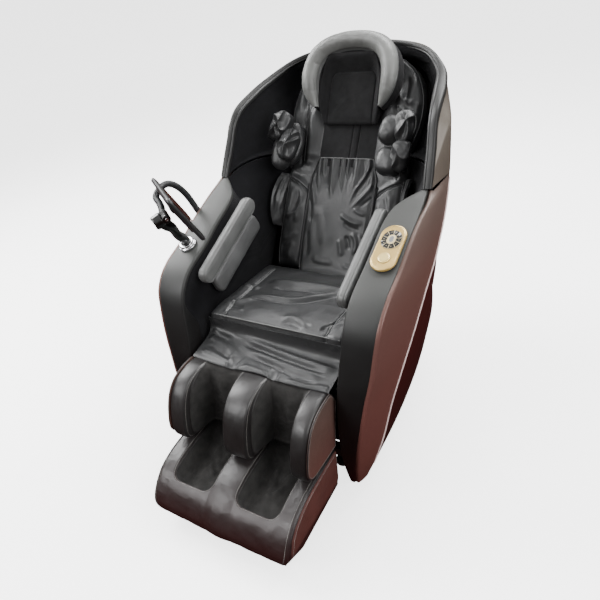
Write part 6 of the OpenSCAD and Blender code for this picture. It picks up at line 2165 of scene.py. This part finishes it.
def round_prof(pts, r, k=5):
    """open (radius, height) profile with its inner corners rounded"""
    pts = np.asarray(pts, float); out = [pts[0]]
    for i in range(1, len(pts) - 1):
        a, b, c = pts[i - 1], pts[i], pts[i + 1]
        rr = min(r, 0.49 * np.linalg.norm(a - b), 0.49 * np.linalg.norm(c - b))
        u, v = unit(a - b), unit(c - b)
        for t in np.linspace(0, 1, k):
            out.append((b + u * rr) * (1 - t) ** 2 + b * 2 * t * (1 - t) + (b + v * rr) * t * t)
    out.append(pts[-1])
    return np.array(out)


def pill_loop(L, Wd, n=96):
    """outline L long in y, Wd wide in x; n points, counter-clockwise"""
    r = Wd / 2; h = L / 2 - r
    pts = []
    for cy_, a0 in ((h, 0), (-h, 180)):
        for a in np.linspace(a0, a0 + 180, 40):
            pts.append([r * math.cos(math.radians(a)), cy_ + r * math.sin(math.radians(a))])
    pts = np.array(pts)
    d = np.r_[0, np.cumsum(np.linalg.norm(np.diff(np.vstack([pts, pts[:1]]), axis=0), axis=1))]
    q = np.vstack([pts, pts[:1]]); w = np.linspace(0, d[-1], n + 1)[:-1]
    return np.column_stack([np.interp(w, d, q[:, 0]), np.interp(w, d, q[:, 1])])


def rr_loop(L, Hh, R, n=160):
    return closed_profile([[L / 2, -Hh / 2], [L / 2, Hh / 2], [-L / 2, Hh / 2], [-L / 2, -Hh / 2]], n, r=R)


def loft(loops, o, R, p=None, mat=0, caps=True):
    """loops: list of (outline (n, 2), height); placed with origin o and axes R"""
    p = p or Parts()
    G = np.array([np.column_stack([l, np.full(len(l), h)]) for l, h in loops]) @ R.T + np.asarray(o, float)
    n = G.shape[1]; base = p.n
    p.grid(G, cv=True, mat=mat)
    if caps:
        p.f.append([base + j for j in range(n)][::-1]); p.m.append(mat)
        p.f.append([base + (len(loops) - 1) * n + j for j in range(n)]); p.m.append(mat)
    return p


def cut(o, *tools):
    """bore the tools out of the object and drop them"""
    for t in tools:
        m = o.modifiers.new("cut", "BOOLEAN"); m.operation = "DIFFERENCE"; m.object = t; m.solver = "EXACT"
    dg = bpy.context.evaluated_depsgraph_get()
    me = bpy.data.meshes.new_from_object(o.evaluated_get(dg))
    o.modifiers.clear()
    old = o.data; o.data = me
    bpy.data.meshes.remove(old)
    for t in tools:
        bpy.data.objects.remove(t)
    o.data.polygons.foreach_set("use_smooth", np.full(len(o.data.polygons), True))
    o.data.set_sharp_from_angle(angle=math.radians(35))
    return o


# ------------------------------------------------------------------ control plate and its keys
AA = math.radians(23.5)
RA = np.array([[1, 0, 0], [0, math.cos(AA), -math.sin(AA)], [0, math.sin(AA), math.cos(AA)]])
PO = np.array([324.0, -215.0, 714.4])


def shrink(loop, d):
    T = unit(np.roll(loop, -1, 0) - np.roll(loop, 1, 0)); N = np.stack([T[:, 1], -T[:, 0]], 1)
    return loop - N * d


def slab(loop, z0, z1, r, o=PO, R=RA, dish=0.0):
    """slab with its upper edge rolled over with radius r"""
    L = [(loop, z0), (loop, z1 - r)]
    for a in (22, 45, 67, 90):
        L.append((shrink(loop, r * (1 - math.cos(math.radians(a)))), z1 - r + r * math.sin(math.radians(a))))
    if dish:
        L.append((shrink(loop, r + 1.0), z1)); L.append((shrink(loop, r + 2.2), z1 - dish * 0.8)); L.append((shrink(loop, r + 3.2), z1 - dish))
    return loft(L, o, R)


def at(loop, x, y):
    return loop + [x, y]


plate = from_parts("control_plate_gold", slab(pill_loop(154, 72, 160), 0.0, 6.9, 3.0, dish=1.1), "root", [P_GOLD], replaces=["control_plate"], slot="gold", sharp=35)
t1 = from_parts("tool_a", loft([(at(pill_loop(64.4, 56.4, 120), 0, 26), 3.0), (at(pill_loop(64.4, 56.4, 120), 0, 26), 9.0)], PO, RA), None, [P_GOLD])
t2 = from_parts("tool_b", loft([(at(pill_loop(34.8, 34.8, 96), 0, -36), 3.0), (at(pill_loop(34.8, 34.8, 96), 0, -36), 9.0)], PO, RA), None, [P_GOLD])
cut(plate, t1, t2)

# the island inside the ring belongs to the plate
isl = from_parts("control_island", slab(at(pill_loop(30.4, 22.4, 96), 0, 26), 2.9, 7.6, 1.0), "root", [P_CREAM], slot="gold", sharp=35)
t3 = from_parts("tool_c", loft([(at(pill_loop(26.2, 18.2, 96), 0, 26), 3.0), (at(pill_loop(26.2, 18.2, 96), 0, 26), 9.0)], PO, RA), None, [P_CREAM])
cut(isl, t3)


def ring_base():
    """the ring key: a pale ring that carries ten dark touch fields"""
    o_, i_ = at(pill_loop(63.2, 55.2, 144), 0, 26), at(pill_loop(31.4, 23.4, 144), 0, 26)
    L = [(i_, 4.6), (o_, 4.6), (o_, 6.9), (shrink(o_, 0.4), 7.3), (shrink(o_, 1.0), 7.5), (shrink(i_, -1.0), 7.5), (shrink(i_, -0.4), 7.3), (i_, 6.9)]
    G = np.array([np.column_stack([l, np.full(len(l), h)]) for l, h in L]) @ RA.T + PO
    p = Parts(); p.grid(G, cu=True, cv=True)
    return p


def ring_fields():
    p = Parts()
    n = 10
    for k in range(n):
        a0, a1 = 90 + k * 360 / n + 1.6, 90 + (k + 1) * 360 / n - 1.6
        a = np.radians(np.linspace(a0, a1, 12))

        def pt(L, Wd, ang):
            # direction ang from the centre out to the pill outline
            r = Wd / 2; h = L / 2 - r
            out = []
            for q in ang:
                dx, dy = math.cos(q), math.sin(q)
                t = r / max(abs(dx), 1e-9)
                if abs(t * dy) > h:
                    s_ = 1 if dy > 0 else -1
                    b = -dy * s_ * h; c_ = h * h - r * r
                    t = -b + math.sqrt(max(b * b - c_, 0))
                out.append([t * dx, t * dy + 26])
            return np.array(out)
        o_, i_ = pt(62.2, 54.2, a), pt(32.6, 24.6, a)
        loop = np.vstack([o_, i_[::-1]])
        c = loop.mean(0)
        loft([(loop, 6.9), (loop, 7.75), (c + (loop - c) * 0.965, 7.95)], PO, RA, p=p)
    return p


def key_marks():
    """small plain dashes, one on every field"""
    p = Parts()
    for k in range(10):
        a = math.radians(90 + 36 * k + 18)
        x, y = 20.8 * math.cos(a), 26 + 22.6 * math.sin(a) + 2.4 * math.sin(a)
        for d, ln in ((0, 2.8),):
            c = pill_loop(ln, 0.9, 20) + [d, 0]
            ca, sa = math.cos(a + 0.5 * (k % 4)), math.sin(a + 0.5 * (k % 4))
            c = c @ np.array([[ca, sa], [-sa, ca]]) + [x, y]
            loft([(c, 7.8), (c, 8.1)], PO, RA, p=p)
    return p


from_parts("ring_key_body", ring_base(), "ring_key_press", [P_CREAM], replaces=["ring_key"], slot="key_black", sharp=35)
from_parts("ring_key_fields", ring_fields(), "ring_key_press", [P_KEYBLACK], slot="key_black", sharp=35)
from_parts("ring_key_marks", key_marks(), "ring_key_press", [P_CREAM], slot="key_black", sharp=35)
from_parts("centre_key_field", loft([(at(pill_loop(20.0, 11.6, 64), 0, 26), 8.2), (at(pill_loop(20.0, 11.6, 64), 0, 26), 8.6)], PO, RA), "centre_key_press", [P_KEYGREY], slot="key_grey", sharp=35)
from_parts("centre_key_cap", slab(at(pill_loop(25.6, 17.6, 96), 0, 26), 4.6, 8.4, 1.6), "centre_key_press", [P_CREAM], replaces=["centre_key"], slot="key_grey", sharp=35)
R36 = lambda pr: lathe(round_prof(pr, 0.7), PO + RA @ np.array([0, -36, 0]), RA, 72)
from_parts("round_key_cap", R36([[0.01, 4.6], [16.8, 4.6], [16.8, 7.9], [15.2, 7.9], [13.6, 7.2], [13.0, 7.2], [12.6, 8.5], [6.0, 8.1], [0.01, 7.9]]), "round_key_press", [P_KEYGOLD], replaces=["round_key"], slot="key_gold", sharp=40)

# ------------------------------------------------------------------ tablet on its swivelling stand
TR_, TH_, TN_ = np.array([-328.0, -284, 681]), np.array([-304.0, -364, 816]), unit(np.array([0.558, 0.763, 0.327]))
RB = RA
b_ = lathe(round_prof([[17.1, 1.9], [17.1, 14.6], [22.6, 14.8], [23.0, 9.0], [25.0, 7.2], [28.6, 6.2], [29.0, 2.6], [28.6, 0.0], [17.1, 0.0]], 1.6), TR_, RB, 96)
b_.f = [f for f in b_.f if len(f) < 20]; b_.m = b_.m[:len(b_.f)]
from_parts("tablet_foot_ring", b_, "root", [M_CHROME], replaces=["tablet_base_ring"], slot="chrome", merge=0.02, sharp=50)


def make_stand():
    p = Parts()
    up = RB[:, 2]
    # neck in the ring
    lathe(round_prof([[0.01, 2.4], [16.9, 2.4], [16.9, 21.2], [15.6, 23.4], [0.01, 24.2]], 1.2), TR_, RB, 64, p=p)
    # arm: an oval section that swells from the neck to the hub
    C = spline(np.array([TR_ + up * 12, TR_ + up * 24 + [0.5, -2, 6], TR_ * 0.60 + TH_ * 0.40 + [-5, -2, -2], TR_ * 0.30 + TH_ * 0.70 + [-4, -3, -3], TH_ - TN_ * 20 + [1, 4, -10], TH_ - TN_ * 22]), 60)
    T, U, V = frames(C)
    U = unit(np.cross(T, TN_)); V = np.cross(T, U)
    w = np.linspace(0, 1, 60)
    ru = np.interp(w, [0, 0.15, 0.45, 0.8, 1], [14.5, 16.0, 17.0, 20.0, 17]); rv = np.interp(w, [0, 0.15, 0.45, 0.8, 1], [14.5, 14.5, 13.5, 15.5, 12])
    a = np.linspace(0, 2 * np.pi, 40, endpoint=False)
    ca, sa = np.sign(np.cos(a)) * np.abs(np.cos(a)) ** 0.8, np.sign(np.sin(a)) * np.abs(np.sin(a)) ** 0.8
    G = C[:, None] + ru[:, None, None] * ca[None, :, None] * U[:, None] + rv[:, None, None] * sa[None, :, None] * V[:, None]
    base = p.n
    p.grid(G, cv=True)
    p.f.append([base + j for j in range(40)][::-1]); p.m.append(0)
    p.f.append([base + 59 * 40 + j for j in range(40)]); p.m.append(0)
    # hub drum behind the tablet, and the barrel of the tilt hinge
    RT = axis_frame(TN_, ref=(-TN_[1], TN_[0], 0))
    lathe(round_prof([[0.01, -38.5], [14.0, -38.5], [19.5, -38.0], [21.8, -34.5], [22.0, -13.0], [20.5, -9.0], [15.5, -7.4], [13.0, 2.0], [0.01, 2.0]], 1.5), TH_, RT, 72, p=p)
    RH = axis_frame([-TN_[1], TN_[0], 0], ref=(0, 0, 1))
    lathe(round_prof([[0.01, -27], [11.2, -27], [12.9, -25.2], [12.9, 25.2], [11.2, 27], [0.01, 27]], 1.2), TH_, RH, 48, p=p)
    return p


def stand_screws():
    p = Parts()
    RH = axis_frame([-TN_[1], TN_[0], 0], ref=(0, 0, 1))
    for h in (-27.3, 27.3):
        sg = np.sign(h)
        pr = [[0.01, h - sg * 2], [5.2, h - sg * 2], [5.2, h + sg * 0.6], [4.2, h + sg * 1.5], [2.4, h + sg * 1.5], [2.2, h + sg * 0.2], [0.01, h + sg * 0.2]]
        lathe(pr if sg > 0 else pr[::-1], TH_, RH, 24, p=p)
    RT = axis_frame(TN_, ref=(-TN_[1], TN_[0], 0))
    for k in range(3):
        a = math.radians(90 + 120 * k)
        o_ = TH_ + RT @ np.array([16.5 * math.cos(a), 16.5 * math.sin(a), 0])
        lathe([[0.01, -39.2], [1.6, -39.2], [1.9, -39.7], [2.9, -39.7], [3.3, -39.0], [3.3, -36], [0.01, -36]], o_, RT, 20, p=p)
    return p


from_parts("tablet_arm", make_stand(), "stand", [P_GLOSS], replaces=["tablet_stand"], slot="gloss_black", sharp=40)
from_parts("tablet_arm_screws", stand_screws(), "stand", [M_CHROME], slot="chrome", sharp=35)

# the tablet's own axes: z faces the sitter, x level
az_ = math.atan2(TN_[1], TN_[0]) + math.pi / 2; el_ = math.acos(TN_[2])
RZ = np.array([[math.cos(az_), -math.sin(az_), 0], [math.sin(az_), math.cos(az_), 0], [0, 0, 1]])
RX = np.array([[1, 0, 0], [0, math.cos(el_), -math.sin(el_)], [0, math.sin(el_), math.cos(el_)]])
RTB = RZ @ RX
T_EX = RTB[:, 0].copy()
tl = math.radians(-7.0)
# turned about the hinge, within its travel
KX = np.array([[0, -T_EX[2], T_EX[1]], [T_EX[2], 0, -T_EX[0]], [-T_EX[1], T_EX[0], 0]])
RTL = np.eye(3) + math.sin(tl) * KX + (1 - math.cos(tl)) * (KX @ KX)
TNT = RTL @ TN_
RTB = RTL @ RTB
TO_ = TH_ + TNT * 44 + RTB @ np.array([-16.0, 0, 0])


def tablet_body():
    W_, H_ = 238.0, 160.0
    L = []
    base = lambda d, h: (rr_loop(W_ - 2 * d, H_ - 2 * d, 16 - min(d, 13)), h)
    L += [base(40, -13.0), base(34, -13.0), base(32.5, -12.4), base(30, -9.6), base(27, -8.4), base(8, -7.6), base(4.5, -6.8), base(1.8, -4.6), base(0.3, -1.6), base(0, 0.4), base(0.2, 2.6), base(1.0, 4.2), base(2.2, 4.95), base(4.0, 5.1), base(4.6, 4.9), base(4.8, 3.6), base(60, 3.6)]
    p = loft(L, TO_, RTB)
    # faces of the rim band are pale, the back is dark
    n = 160; k = 0
    for i in range(len(L) - 1):
        for j in range(n):
            p.m[k] = 1 if i < 6 else 0; k += 1
    p.m[k] = 1
    # neck to the hinge
    lathe([[0.01, -20.6], [9.8, -20.6], [9.8, -12.0], [0.01, -12.0]], TH_ + TNT * 44, RTB, 32, p=p, mat=1)
    return p


def tablet_slots():
    p = Parts()
    # the slots are not cut: flat dark boxes on the edge stand in for the openings, painted shade in place of holes
    for x in list(np.linspace(-70, -40, 7)) + list(np.linspace(40, 70, 7)):
        q = np.array([[x - 1.2, -79.4, -3], [x + 1.2, -79.4, -3], [x + 1.2, -79.4, 2.0], [x - 1.2, -79.4, 2.0]])
        o2 = q.copy(); o2[:, 1] = -80.15
        V = np.vstack([q, o2]) @ RTB.T + TO_
        p.add(V, [[0, 1, 2, 3], [7, 6, 5, 4], [0, 4, 5, 1], [1, 5, 6, 2], [2, 6, 7, 3], [3, 7, 4, 0]])
    return p


def tablet_glass():
    W_, H_ = 228.0, 150.0
    base = lambda d, h: (rr_loop(W_ - 2 * d, H_ - 2 * d, 11.5 - min(d, 9)), h)
    return loft([base(0, 3.7), base(0, 6.0), base(0.4, 6.5), base(1.0, 6.75), base(10, 6.8)], TO_, RTB)


def tablet_display():
    base = lambda d, h: (rr_loop(200 - 2 * d, 124 - 2 * d, 3), h)
    return loft([base(0, 6.75), base(0, 6.86)], TO_, RTB)


from_parts("tablet_case", tablet_body(), "tablet", [P_TAB, P_TABD], replaces=["tablet_housing"], slot="tablet_grey", sharp=45)
from_parts("tablet_case_slots", tablet_slots(), "tablet", [P_DARK], slot="tablet_grey", sharp=35)
from_parts("tablet_glass", tablet_glass(), "tablet", [P_GLOSS], replaces=["tablet_screen"], slot="screen_black", sharp=40)
from_parts("tablet_display", tablet_display(), "tablet", [P_SCREEN], slot="screen_black", sharp=40)

# ------------------------------------------------------------------ conduit
CR_ = np.array([[-326.0, -347.9, 816.0], [-334.7, -341.6, 816.0], [-351.9, -324.4, 826.8], [-370.6, -312.8, 837.8], [-386.5, -302, 846], [-388.5, -286, 857], [-388.5, -262, 865], [-388, -236, 862], [-386, -210, 845], [-386, -184, 815], [-387, -162, 777], [-387, -146, 740], [-386, -134, 712], [-385, -127, 694]], float)
CC_ = spline(CR_, 620)


def make_conduit():
    d = np.r_[0, np.cumsum(np.linalg.norm(np.diff(CC_, axis=0), axis=1))]
    w = np.linspace(0, d[-1], 760)
    C = np.stack([np.interp(w, d, CC_[:, k]) for k in range(3)], 1)
    r = 9.75 + 0.75 * np.abs(np.cos(np.pi * w / 3.9)) ** 0.6
    return tube_parts(C, r, 22), C, d[-1]


P_, CPATH, CLEN = make_conduit()
P_COND = plastic("conduit_black", (0.012, 0.012, 0.013), 0.42, speck=0.1)
cond = from_parts("tablet_conduit", P_, None, [P_COND], replaces=["conduit"], slot="conduit_black", sharp=60)
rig.blend(cond, "stand", "root", start=tuple((np.array([-343.0, -333, 820]) + [0, OY, 0]) / 1000), end=tuple((np.array([-385.0, -136, 720]) + [0, OY, 0]) / 1000))
row = lambda q: [float(v) for v in (np.asarray(q, float) + [0, OY, 0]) / 1000]
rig.cord(cond, exit=row(CPATH[-1]), length=CLEN / 1000, diameter=0.021, far_end="object", stiffness="stiff", lay="taut", path=[row(q) for q in CPATH[::-8]] + ([row(CPATH[0])] if (len(CPATH) - 1) % 8 else []))

G1 = axis_frame([0, math.sin(math.radians(18)), math.cos(math.radians(18))], ref=(1, 0, 0))
gl = lathe(round_prof([[0.01, -26], [12.4, -26], [12.4, -9], [14.4, -8.4], [14.4, -2.2], [12.9, -0.6], [11.2, -0.6], [10.6, -3.0], [10.6, -8.0], [0.01, -8.0]], 0.8), [-385, -127, 694], G1, 48)
from_parts("conduit_collar", gl, "root", [P_RUBBER], replaces=["conduit_gland"], slot="rubber_black", sharp=40)
hubc = lathe(round_prof([[0.01, -8], [13.2, -8], [13.6, 4], [12.2, 6], [10.9, 6], [10.6, 4], [10.6, 0.0], [0.01, 0.0]], 0.8), CR_[0], axis_frame(CR_[1] - CR_[0], ref=(0, 0, 1)), 40)
from_parts("conduit_hub_collar", hubc, "stand", [P_RUBBER], slot="rubber_black", sharp=40)

LO1, HI1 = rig.bounds()
json.dump({"cad": [list(LO0), list(HI0)], "visual": [list(LO1), list(HI1)]}, open("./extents.json", "w"))
